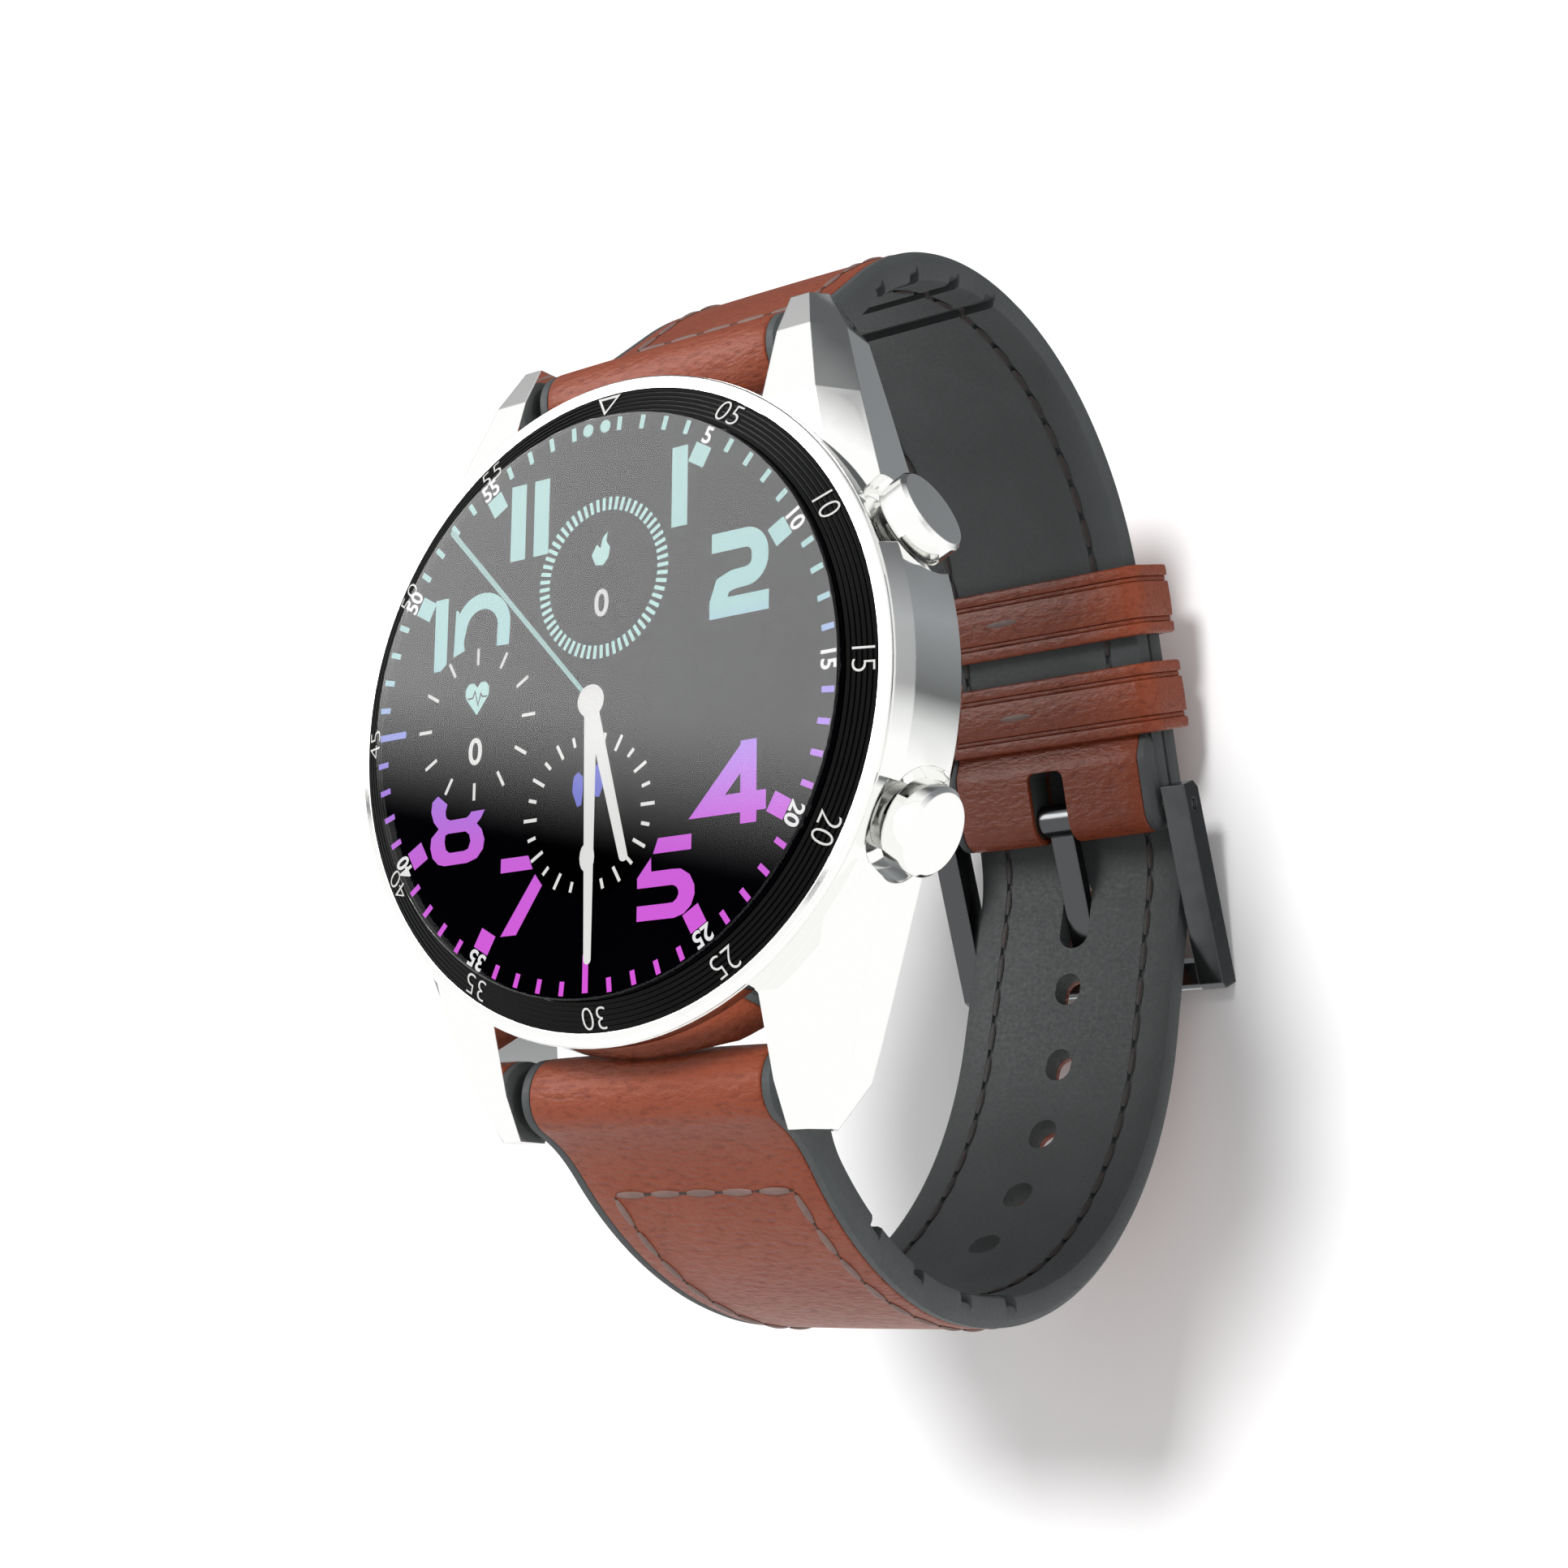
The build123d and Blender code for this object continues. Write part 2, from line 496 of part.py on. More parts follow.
def main():
    mid_case()
    head_shell()
    head_inside()
    for name, angle in (("upper", BUTTON_ANGLE), ("lower", -BUTTON_ANGLE)):
        button(name, angle)
    upper_strap()
    lower_strap()
    for name, side in (("upper", 1), ("lower", -1)):
        lug_bar(name, side)
    buckle()
    keeper("fixed_keeper", FIXED_KEEPER_Y)
    keeper("free_keeper", FREE_KEEPER_Y)
    boxes = [solid.bounding_box() for solid in ALL.values()]
    low = [min(getattr(box.min, axis) for box in boxes) for axis in "XYZ"]
    high = [max(getattr(box.max, axis) for box in boxes) for axis in "XYZ"]
    shift = Vector(-(low[0] + high[0]) / 2, -(low[1] + high[1]) / 2, -low[2])
    print("moved by", [round(v, 4) for v in shift], "size", [round(h - l, 2) for l, h in zip(low, high)])
    os.makedirs("parts", exist_ok=True)
    for name, solid in ALL.items():
        export_step(Pos(*shift) * solid, f"parts/{name}.step")


main()
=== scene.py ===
"""Round smartwatch on a closed leather strap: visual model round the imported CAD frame."""

import json
import logging
import math
from dataclasses import dataclass, field
from enum import Enum

import bmesh
import bpy
from mathutils import Matrix, Vector


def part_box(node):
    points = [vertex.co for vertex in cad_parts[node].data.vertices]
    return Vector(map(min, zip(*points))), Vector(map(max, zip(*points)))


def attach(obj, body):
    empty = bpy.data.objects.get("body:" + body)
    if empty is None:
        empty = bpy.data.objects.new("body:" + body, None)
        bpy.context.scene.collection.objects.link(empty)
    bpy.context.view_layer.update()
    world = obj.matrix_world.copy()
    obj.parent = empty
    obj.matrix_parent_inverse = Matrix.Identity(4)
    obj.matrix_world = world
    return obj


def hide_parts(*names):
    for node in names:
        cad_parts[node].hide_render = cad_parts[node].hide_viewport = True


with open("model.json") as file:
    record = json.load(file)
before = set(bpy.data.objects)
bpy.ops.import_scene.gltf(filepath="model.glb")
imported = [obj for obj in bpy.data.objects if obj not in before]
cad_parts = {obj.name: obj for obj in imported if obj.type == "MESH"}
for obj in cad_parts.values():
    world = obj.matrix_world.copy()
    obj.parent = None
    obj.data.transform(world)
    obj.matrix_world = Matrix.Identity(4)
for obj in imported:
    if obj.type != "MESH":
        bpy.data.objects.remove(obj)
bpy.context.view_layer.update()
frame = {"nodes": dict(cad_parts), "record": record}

LOG = logging.getLogger("watch")
MM = 0.001
CREASE = 38.0


class Slot(str, Enum):
    """Finish slots that the record names."""

    DISPLAY = "display"
    DIAL_BLACK = "dial_black"
    LEATHER = "leather"
    ELASTOMER = "elastomer"


class Body(str, Enum):
    """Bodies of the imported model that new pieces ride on."""

    CASE = "case"
    UPPER_STRAP = "upper_strap"
    LOWER_STRAP = "lower_strap"
    LOOSE_KEEPER = "loose_keeper"


class Face(Enum):
    """The two broad faces of a strap."""

    OUTSIDE = "outside"
    WRIST = "wrist"


# ---------------------------------------------------------------- small tools

def linear(code: str) -> tuple[float, float, float, float]:
    """Turn an sRGB hex colour into linear RGBA.

    Args:
        code: six hex digits.

    Returns:
        Red, green, blue and an alpha of one.
    """
    values = [int(code[i:i + 2], 16) / 255 for i in (0, 2, 4)]
    parts = [v / 12.92 if v <= 0.04045 else ((v + 0.055) / 1.055) ** 2.4 for v in values]
    return (parts[0], parts[1], parts[2], 1.0)


def add(tree: bpy.types.NodeTree, kind: str, settings: dict | None = None,
        links: dict | None = None) -> bpy.types.Node:
    """Add one node, set its properties and sockets, and link its inputs.

    Args:
        tree: node tree that receives the node.
        kind: Blender's type name of the node.
        settings: property or input name to value.
        links: input name or index to an output socket.

    Returns:
        The new node.
    """
    node = tree.nodes.new(kind)
    for key, value in (settings or {}).items():
        if isinstance(key, str) and hasattr(node, key):
            setattr(node, key, value)
        else:
            node.inputs[key].default_value = value
    for key, socket in (links or {}).items():
        tree.links.new(socket, node.inputs[key])
    return node


def ramp(tree: bpy.types.NodeTree, factor: bpy.types.NodeSocket,
         stops: list[tuple[float, tuple[float, float, float, float]]]) -> bpy.types.NodeSocket:
    """Colour ramp over a factor.

    Args:
        tree: node tree.
        factor: socket that drives the ramp.
        stops: position and linear colour of each stop.

    Returns:
        The ramp's colour output.
    """
    node = add(tree, "ShaderNodeValToRGB", links={"Fac": factor})
    elements = node.color_ramp.elements
    while len(elements) < len(stops):
        elements.new(0.5)
    for element, (position, colour) in zip(elements, stops):
        element.position = position
        element.color = colour
    return node.outputs["Color"]


def new_material(name: str) -> tuple[bpy.types.Material, bpy.types.NodeTree]:
    """Empty node material of this name, and its tree."""
    material = bpy.data.materials.new(name)
    material.use_nodes = True
    material.node_tree.nodes.clear()
    return material, material.node_tree


def close_tree(tree: bpy.types.NodeTree, shader: bpy.types.NodeSocket) -> None:
    """Link a shader to the material's output."""
    add(tree, "ShaderNodeOutputMaterial", links={"Surface": shader})


def object_noise(tree: bpy.types.NodeTree, spacing: tuple[float, float, float],
                 detail: float = 3.0) -> bpy.types.NodeSocket:
    """Noise whose spots have this real size.

    Args:
        tree: node tree.
        spacing: size of a spot along X, Y and Z in millimetres.
        detail: octaves of finer noise.

    Returns:
        The noise factor.
    """
    coords = add(tree, "ShaderNodeTexCoord")
    scale = tuple(1 / (s * MM) for s in spacing)
    place = add(tree, "ShaderNodeMapping", {"Scale": scale}, {"Vector": coords.outputs["Object"]})
    noise = add(tree, "ShaderNodeTexNoise", {"Scale": 1.0, "Detail": detail, "Roughness": 0.55},
                {"Vector": place.outputs["Vector"]})
    return noise.outputs["Fac"]


# ---------------------------------------------------------------- finishes

@dataclass(frozen=True)
class Leather:
    """Calfskin, embossed with a fine cross grain and waxed: soft sheen on the ridges, darker pits."""

    name: str = "embossed_calf_leather"
    colour: str = "7C371E"
    dark: str = "6D2D17"
    pale: str = "853E24"
    grain: tuple[float, float, float] = (0.9, 0.42, 0.42)
    relief: float = 0.2
    roughness: float = 0.42

    def make(self) -> bpy.types.Material:
        """Build the material."""
        material, tree = new_material(self.name)
        grain = object_noise(tree, self.grain, 4.0)
        pores = object_noise(tree, (0.28, 0.2, 0.2), 2.0)
        cloud = object_noise(tree, (14.0, 11.0, 11.0), 3.0)
        tint = ramp(tree, cloud, [(0.32, linear(self.colour)), (0.7, linear(self.pale))])
        pits = ramp(tree, grain, [(0.3, (0.0, 0.0, 0.0, 1.0)), (0.48, (1.0, 1.0, 1.0, 1.0))])
        colour = add(tree, "ShaderNodeMix", {"data_type": "RGBA", 6: linear(self.dark)}, {0: pits, 7: tint})
        wear = add(tree, "ShaderNodeMapRange", {"From Min": 0.3, "From Max": 0.75,
                                                "To Min": self.roughness + 0.1,
                                                "To Max": self.roughness - 0.06}, {"Value": grain})
        fine = add(tree, "ShaderNodeBump", {"Strength": 0.4, "Distance": 0.02 * MM}, {"Height": pores})
        bump = add(tree, "ShaderNodeBump", {"Strength": 0.9, "Distance": self.relief * MM},
                   {"Height": grain, "Normal": fine.outputs["Normal"]})
        shader = add(tree, "ShaderNodeBsdfPrincipled", {"IOR": 1.38, "Coat Weight": 0.05,
                                                        "Coat Roughness": 0.3},
                     {"Base Color": colour.outputs[2], "Roughness": wear.outputs["Result"],
                      "Normal": bump.outputs["Normal"]})
        close_tree(tree, shader.outputs["BSDF"])
        return material


@dataclass(frozen=True)
class Moulded:
    """Moulded or printed plastic, rubber or coated board: even colour with a fine matt skin."""

    name: str
    colour: str
    second: str
    roughness: float = 0.5
    grain: float = 0.4
    relief: float = 0.02
    patch: float = 6.0
    ior: float = 1.48

    def make(self) -> bpy.types.Material:
        """Build the material."""
        material, tree = new_material(self.name)
        skin = object_noise(tree, (self.grain,) * 3, 3.0)
        cloud = object_noise(tree, (self.patch,) * 3, 2.0)
        tint = ramp(tree, cloud, [(0.35, linear(self.colour)), (0.68, linear(self.second))])
        rough = add(tree, "ShaderNodeMapRange", {"From Min": 0.3, "From Max": 0.7,
                                                 "To Min": self.roughness - 0.06,
                                                 "To Max": self.roughness + 0.08}, {"Value": skin})
        bump = add(tree, "ShaderNodeBump", {"Strength": 0.8, "Distance": self.relief * MM},
                   {"Height": skin})
        shader = add(tree, "ShaderNodeBsdfPrincipled", {"IOR": self.ior},
                     {"Base Color": tint, "Roughness": rough.outputs["Result"],
                      "Normal": bump.outputs["Normal"]})
        close_tree(tree, shader.outputs["BSDF"])
        return material


@dataclass(frozen=True)
class Metal:
    """Solid metal. Polished grades mirror the room, with edges rounded by the wheel."""

    name: str
    colour: str
    roughness: float
    edge: float = 0.1
    brushed: tuple[float, float, float] = (1.6, 1.6, 1.6)
    relief: float = 0.0015

    def make(self) -> bpy.types.Material:
        """Build the material."""
        material, tree = new_material(self.name)
        marks = object_noise(tree, self.brushed, 3.0)
        spread = add(tree, "ShaderNodeMapRange", {"From Min": 0.3, "From Max": 0.7,
                                                  "To Min": self.roughness * 0.8,
                                                  "To Max": self.roughness * 1.3}, {"Value": marks})
        rounded = add(tree, "ShaderNodeBevel", {"samples": 4, "Radius": self.edge * MM})
        bump = add(tree, "ShaderNodeBump", {"Strength": 0.4, "Distance": self.relief * MM},
                   {"Height": marks, "Normal": rounded.outputs["Normal"]})
        shader = add(tree, "ShaderNodeBsdfPrincipled", {"Base Color": linear(self.colour),
                                                        "Metallic": 1.0},
                     {"Roughness": spread.outputs["Result"], "Normal": bump.outputs["Normal"]})
        close_tree(tree, shader.outputs["BSDF"])
        return material


@dataclass(frozen=True)
class ClearGlass:
    """Hardened flat glass, lapped: clear, with a sharp reflection that grows at a low angle."""

    name: str
    tint: str = "FFFFFF"
    ior: float = 1.3
    roughness: float = 0.012

    def make(self) -> bpy.types.Material:
        """Build the material."""
        material, tree = new_material(self.name)
        haze = object_noise(tree, (9.0, 9.0, 9.0), 2.0)
        rough = add(tree, "ShaderNodeMapRange", {"To Min": self.roughness * 0.6,
                                                 "To Max": self.roughness * 1.6}, {"Value": haze})
        clear = add(tree, "ShaderNodeBsdfTransparent", {"Color": linear(self.tint)})
        gloss = add(tree, "ShaderNodeBsdfGlossy", {"Color": (1.0, 1.0, 1.0, 1.0)},
                    {"Roughness": rough.outputs["Result"]})
        fresnel = add(tree, "ShaderNodeFresnel", {"IOR": self.ior})
        facing = add(tree, "ShaderNodeNewGeometry")
        front = add(tree, "ShaderNodeMath", {"operation": "SUBTRACT", 0: 1.0},
                    {1: facing.outputs["Backfacing"]})
        share = add(tree, "ShaderNodeMath", {"operation": "MULTIPLY"},
                    {0: fresnel.outputs["Fac"], 1: front.outputs["Value"]})
        mix = add(tree, "ShaderNodeMixShader", links={0: share.outputs["Value"],
                                                      1: clear.outputs["BSDF"],
                                                      2: gloss.outputs["BSDF"]})
        close_tree(tree, mix.outputs["Shader"])
        return material


@dataclass(frozen=True)
class LitInk:
    """Lit pixels of the display: one colour that runs from mint at 12 to magenta at 6."""

    name: str
    stops: tuple[tuple[float, str], ...]
    middle: float
    half_height: float

    def make(self) -> bpy.types.Material:
        """Build the material."""
        material, tree = new_material(self.name)
        coords = add(tree, "ShaderNodeTexCoord")
        split = add(tree, "ShaderNodeSeparateXYZ", links={"Vector": coords.outputs["Object"]})
        height = add(tree, "ShaderNodeMapRange", {"From Min": self.middle - self.half_height,
                                                  "From Max": self.middle + self.half_height},
                     {"Value": split.outputs["Y"]})
        colour = ramp(tree, height.outputs["Result"], [(p, linear(c)) for p, c in self.stops])
        glow = add(tree, "ShaderNodeEmission", {"Strength": 1.0}, {"Color": colour})
        close_tree(tree, glow.outputs["Emission"])
        return material


@dataclass(frozen=True)
class EvenInk:
    """Lit pixels of one colour all over."""

    name: str
    colour: str

    def make(self) -> bpy.types.Material:
        """Build the material."""
        material, tree = new_material(self.name)
        glow = add(tree, "ShaderNodeEmission", {"Color": linear(self.colour), "Strength": 1.0})
        close_tree(tree, glow.outputs["Emission"])
        return material


# ---------------------------------------------------------------- mesh tools

@dataclass(frozen=True)
class Datum:
    """The dial's centre in the row frame, from which every place is measured in millimetres."""

    origin: Vector

    @classmethod
    def from_frame(cls) -> "Datum":
        """Find the datum from the display panel, whose top lies 0.49 mm above it."""
        low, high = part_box("display_panel")
        middle = (low + high) / 2
        return cls(Vector((middle.x, middle.y, high.z - 0.49 * MM)))

    def at(self, x: float, y: float, z: float) -> Vector:
        """Row place of a point in dial millimetres."""
        return self.origin + Vector((x, y, z)) * MM

    def local(self, point: Vector) -> Vector:
        """Dial millimetres of a row place."""
        return (point - self.origin) / MM


def piece(name: str, verts: list[Vector], faces: list[tuple[int, ...]], material: bpy.types.Material,
          body: Body, crease: float = CREASE) -> bpy.types.Object:
    """Make a mesh piece, smooth it, dress it and let it ride on its body.

    Args:
        name: piece name.
        verts: points in the row frame.
        faces: vertex numbers of each face.
        material: its finish.
        body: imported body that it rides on.
        crease: edges sharper than this stay sharp, in degrees.

    Returns:
        The new object.
    """
    mesh = bpy.data.meshes.new(name)
    mesh.from_pydata([tuple(v) for v in verts], [], faces)
    work = bmesh.new()
    work.from_mesh(mesh)
    bmesh.ops.remove_doubles(work, verts=work.verts, dist=1e-6)
    bmesh.ops.dissolve_degenerate(work, dist=1e-7, edges=work.edges)
    bmesh.ops.recalc_face_normals(work, faces=work.faces)
    work.to_mesh(mesh)
    work.free()
    thing = bpy.data.objects.new(name, mesh)
    bpy.context.scene.collection.objects.link(thing)
    return finish_piece(thing, material, body, crease)


def finish_piece(thing: bpy.types.Object, material: bpy.types.Material, body: Body,
                 crease: float = CREASE) -> bpy.types.Object:
    """Shade, dress and attach a finished mesh object, and return it."""
    thing.data.materials.clear()
    thing.data.materials.append(material)
    thing.data.shade_smooth()
    thing.data.set_sharp_from_angle(angle=math.radians(crease))
    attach(thing, body.value)
    LOG.info("%s: %d faces on %s", thing.name, len(thing.data.polygons), body.value)
    return thing


def cut(target: bpy.types.Object, cutters: list[bpy.types.Object]) -> None:
    """Cut closed shapes out of a piece, and drop the shapes.

    Args:
        target: piece to cut.
        cutters: closed mesh objects.
    """
    for cutter in cutters:
        modifier = target.modifiers.new("cut", "BOOLEAN")
        modifier.operation = "DIFFERENCE"
        modifier.solver = "EXACT"
        modifier.use_self = True
        modifier.object = cutter
    bpy.context.view_layer.update()
    graph = bpy.context.evaluated_depsgraph_get()
    mesh = bpy.data.meshes.new_from_object(target.evaluated_get(graph))
    target.modifiers.clear()
    target.data = mesh


def helper(name: str, verts: list[Vector], faces: list[tuple[int, ...]]) -> bpy.types.Object:
    """Closed shape with outward faces, which is only used to cut."""
    mesh = bpy.data.meshes.new(name)
    mesh.from_pydata([tuple(v) for v in verts], [], faces)
    work = bmesh.new()
    work.from_mesh(mesh)
    bmesh.ops.recalc_face_normals(work, faces=work.faces)
    work.to_mesh(mesh)
    work.free()
    thing = bpy.data.objects.new(name, mesh)
    bpy.context.scene.collection.objects.link(thing)
    return thing


def drop(things: list[bpy.types.Object]) -> None:
    """Delete helper objects."""
    for thing in things:
        bpy.data.objects.remove(thing)


def loops(rings: list[list[Vector]], closed: bool = False) -> tuple[list[Vector], list[tuple[int, ...]]]:
    """Skin a row of equal rings, with end caps unless the row closes on itself.

    Args:
        rings: rings of points, all of one length.
        closed: whether the last ring joins the first.

    Returns:
        Points and faces.
    """
    size = len(rings[0])
    verts = [p for points in rings for p in points]
    faces: list[tuple[int, ...]] = []
    last = len(rings) if closed else len(rings) - 1
    for i in range(last):
        a, b = i * size, ((i + 1) % len(rings)) * size
        for j in range(size):
            k = (j + 1) % size
            faces.append((a + j, a + k, b + k, b + j))
    if not closed:
        faces.append(tuple(reversed(range(size))))
        faces.append(tuple(range((len(rings) - 1) * size, len(rings) * size)))
    return verts, faces


# ---------------------------------------------------------------- strap

@dataclass(frozen=True)
class Station:
    """One cross section of a strap: outside point, wrist-side point, length along and half width."""

    outside: Vector
    wrist: Vector
    length: float
    half: float
    leather: bool = True

    def point(self, x: float, depth: float, face: Face) -> Vector:
        """Point at a place across the strap and a depth below one face, in millimetres."""
        down = (self.wrist - self.outside).normalized()
        base = self.outside + down * depth if face is Face.OUTSIDE else self.wrist - down * depth
        return Vector((x, base.y, base.z))


def rounded_route(corners: list[tuple[float, float]], radii: list[float],
                  step: float) -> list[tuple[Vector, Vector, float]]:
    """Sample a Y-Z route with rounded corners.

    Args:
        corners: corner points in millimetres.
        radii: rounding of each inner corner.
        step: largest distance between samples.

    Returns:
        Point, outward normal and length along, for each sample.
    """
    points = [Vector((0.0, y, z)) for y, z in corners]
    steps = [(b - a).normalized() for a, b in zip(points, points[1:])]
    turn = 1.0 if steps[0].cross(steps[1]).x < 0 else -1.0

    def normal(direction: Vector) -> Vector:
        return Vector((0.0, -direction.z, direction.y)) * turn

    samples: list[tuple[Vector, Vector]] = []
    start = points[0]
    for corner, before, after, radius in zip(points[1:-1], steps, steps[1:], radii):
        angle = before.angle(after)
        reach = radius * math.tan(angle / 2)
        first = corner - before * reach
        count = max(1, int((first - start).length / step))
        samples += [(start.lerp(first, i / count), normal(before)) for i in range(count)]
        side = 1.0 if before.cross(after).x > 0 else -1.0
        centre = first + Vector((0.0, -before.z, before.y)) * side * radius
        count = max(3, int(radius * angle / step))
        for i in range(count):
            turned = Matrix.Rotation(side * angle * i / count, 3, "X")
            samples.append((centre + turned @ (first - centre), normal(turned @ before)))
        start = corner + after * reach
    count = max(1, int((points[-1] - start).length / step))
    samples += [(start.lerp(points[-1], i / count), normal(steps[-1])) for i in range(count + 1)]
    result, length = [], 0.0
    for i, (point, out) in enumerate(samples):
        if i:
            length += (point - samples[i - 1][0]).length
        result.append((point, out, length))
    return result


def hermite(t: float, start: float, slope: float, end: float) -> float:
    """Smooth curve from a value and slope to a flat end value."""
    return (start * (2 * t ** 3 - 3 * t ** 2 + 1) + slope * (t ** 3 - 2 * t ** 2 + t)
            + end * (3 * t ** 2 - 2 * t ** 3))


@dataclass
class Strap:
    """One half of the band: padded lug end, leather face, bare grey rim and lining, stitched."""

    name: str
    body: Body
    datum: Datum
    corners: list[tuple[float, float]]
    radii: list[float]
    thickness: float
    wedge: float
    notches: tuple[float, ...] = ()
    barrel: float = 2.7
    rim: float = 1.1
    half_front: float = 10.8
    half_rear: float = 10.0
    stitch_inset: float = 3.0
    stitch_rise: float = 0.06
    stitch_start: float = 7.4
    notch_half: float = 0.75
    notch_deep: float = 0.65
    lug_run: float = 1.3
    shoulder: float = 4.7
    stations: list[Station] = field(default_factory=list)

    def half_at(self, z: float) -> float:
        """Half width at a height."""
        share = min(1.0, max(0.0, (-9.0 - z) / 17.0))
        return self.half_front + (self.half_rear - self.half_front) * share

    def notch_depth(self, length: float) -> float:
        """Depth of the crease notches on the wrist side."""
        for centre in self.notches:
            if abs(length - centre) < self.notch_half:
                return self.notch_deep
        return 0.0

    def lay_lug_end(self, route: list[tuple[Vector, Vector, float]]) -> None:
        """Stations round the lug bar, from the wrist side over the back to the outside."""
        bar, out, _ = route[0]
        along = (route[1][0] - bar).normalized()
        leave = math.degrees(math.acos(self.lug_run / self.barrel))
        for i in range(33):
            angle = 360 - leave - (360 - 2 * leave) * i / 32
            turn = math.radians(angle)
            reach = along * math.cos(turn) + out * math.sin(turn)
            self.stations.append(Station(bar + reach * self.barrel, bar, 0.0, self.half_front,
                                         angle < 232))

    def lay_band(self, route: list[tuple[Vector, Vector, float]], end: float) -> None:
        """Stations along the band, with its padded start and its crease notches."""
        start = self.lug_run
        top = math.sqrt(self.barrel ** 2 - start ** 2)
        slope = -start / top
        half = self.thickness / 2
        offsets = [side * (self.notch_half + gap) for side in (-1, 1) for gap in (0.01, -0.01)]
        edges = [centre + offset for centre in self.notches for offset in offsets]
        samples = list(route)
        for edge in edges:
            index = next(i for i, s in enumerate(route) if s[2] > edge)
            a, b = route[index - 1], route[index]
            share = (edge - a[2]) / (b[2] - a[2])
            samples.append((a[0].lerp(b[0], share), a[1].lerp(b[1], share).normalized(), edge))
        for point, out, length in sorted(samples, key=lambda s: s[2]):
            if length < start or length > end:
                continue
            run = (length - start) / self.shoulder
            high = half if run >= 1 else hermite(run, top, slope * self.shoulder, half)
            run = (length - start) / (self.wedge - start)
            low = half if run >= 1 else hermite(run, top, slope * 2.2, half)
            low -= self.notch_depth(length)
            self.stations.append(Station(point + out * high, point - out * low, length,
                                         self.half_at(point.z)))

    def leather_ring(self, s: Station) -> list[Vector]:
        """Cross section of the leather face at one station."""
        half = max(s.half - self.rim, 0.3)
        columns = [(-half, 0.5), (-half, 0.14), (-half + 0.06, 0.05), (-half + 0.2, 0.0)]
        columns += [(half * f, -0.06 * (1 - f * f)) for f in (-0.8, -0.6, -0.4, -0.2, 0, 0.2, 0.4, 0.6, 0.8)]
        columns += [(half - 0.2, 0.0), (half - 0.06, 0.05), (half, 0.14), (half, 0.5)]
        return [s.point(x, d, Face.OUTSIDE) for x, d in columns]

    def lining_ring(self, s: Station) -> list[Vector]:
        """Cross section of the lining and its raised rims at one station."""
        half = s.half
        inner = max(half - self.rim, 0.3)
        shrink = min(1.0, half / 4)
        right = [(inner - 0.3, 0.42, Face.OUTSIDE), (inner + 0.02, 0.42, Face.OUTSIDE),
                 (inner + 0.05, 0.1, Face.OUTSIDE), (inner + 0.16 * shrink, 0.03, Face.OUTSIDE),
                 (half - 0.42 * shrink, 0.06, Face.OUTSIDE), (half - 0.05, 0.5, Face.OUTSIDE),
                 (half, 0.66, Face.OUTSIDE), (half, 0.55, Face.WRIST), (half - 0.16, 0.14, Face.WRIST),
                 (half - 0.5 * shrink, 0.0, Face.WRIST), (half - 2.75 * shrink, 0.0, Face.WRIST),
                 (half - 2.85 * shrink, 0.3, Face.WRIST), (half - 3.2 * shrink, 0.3, Face.WRIST),
                 (half - 3.3 * shrink, 0.0, Face.WRIST), (half * 0.3, 0.0, Face.WRIST)]
        left = [(-x, d, face) for x, d, face in reversed(right)]
        return [s.point(x, d, face) for x, d, face in right + left]

    def to_row(self, points: list[Vector]) -> list[Vector]:
        """Row places of points in dial millimetres."""
        return [self.datum.at(p.x, p.y, p.z) for p in points]

    def skin(self, name: str, rings: list[list[Vector]], material: bpy.types.Material,
             slot: Slot, nodes: tuple[str, ...]) -> bpy.types.Object:
        """Skin rings into the piece that stands for these CAD nodes."""
        verts, faces = loops([self.to_row(points) for points in rings])
        thing = piece(name, verts, faces, material, self.body)
        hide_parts(*nodes)
        return thing

    def on_face(self, length: float, x: float, lift: float, face: Face) -> Vector:
        """Point above one face of the band, in dial millimetres."""
        band = [s for s in self.stations if s.length > 0]
        for a, b in zip(band, band[1:]):
            if a.length <= length <= b.length:
                share = (length - a.length) / max(b.length - a.length, 1e-6)
                return a.point(x, -lift, face).lerp(b.point(x, -lift, face), share)
        return band[-1].point(x, -lift, face)

    def stitch(self, start: tuple[float, float], end: tuple[float, float], face: Face,
               lift: float, wide: float) -> tuple[list[Vector], list[tuple[int, ...]]]:
        """One flattened stitch between two places on a face.

        Args:
            start: length along and place across.
            end: the same for its other end.
            face: face that it lies on.
            lift: how far it stands proud, in millimetres.
            wide: half its width, in millimetres.

        Returns:
            Points and faces of a closed lozenge.
        """
        run = Vector((end[0] - start[0], end[1] - start[1]))
        side = Vector((-run.y, run.x)).normalized()
        rings = []
        for i in range(7):
            t = i / 6
            swell = math.sin(math.pi * min(1.0, max(0.0, 0.06 + 0.88 * t))) ** 0.45
            middle = Vector(start) + run * t
            ring = []
            for j in range(8):
                angle = 2 * math.pi * j / 8
                across = middle + side * (wide * swell * math.cos(angle))
                height = lift * swell * math.sin(angle) + self.stitch_rise
                point = self.on_face(across.x, across.y, height, face)
                ring.append(self.datum.at(point.x, point.y, point.z))
            rings.append(ring)
        return loops(rings)

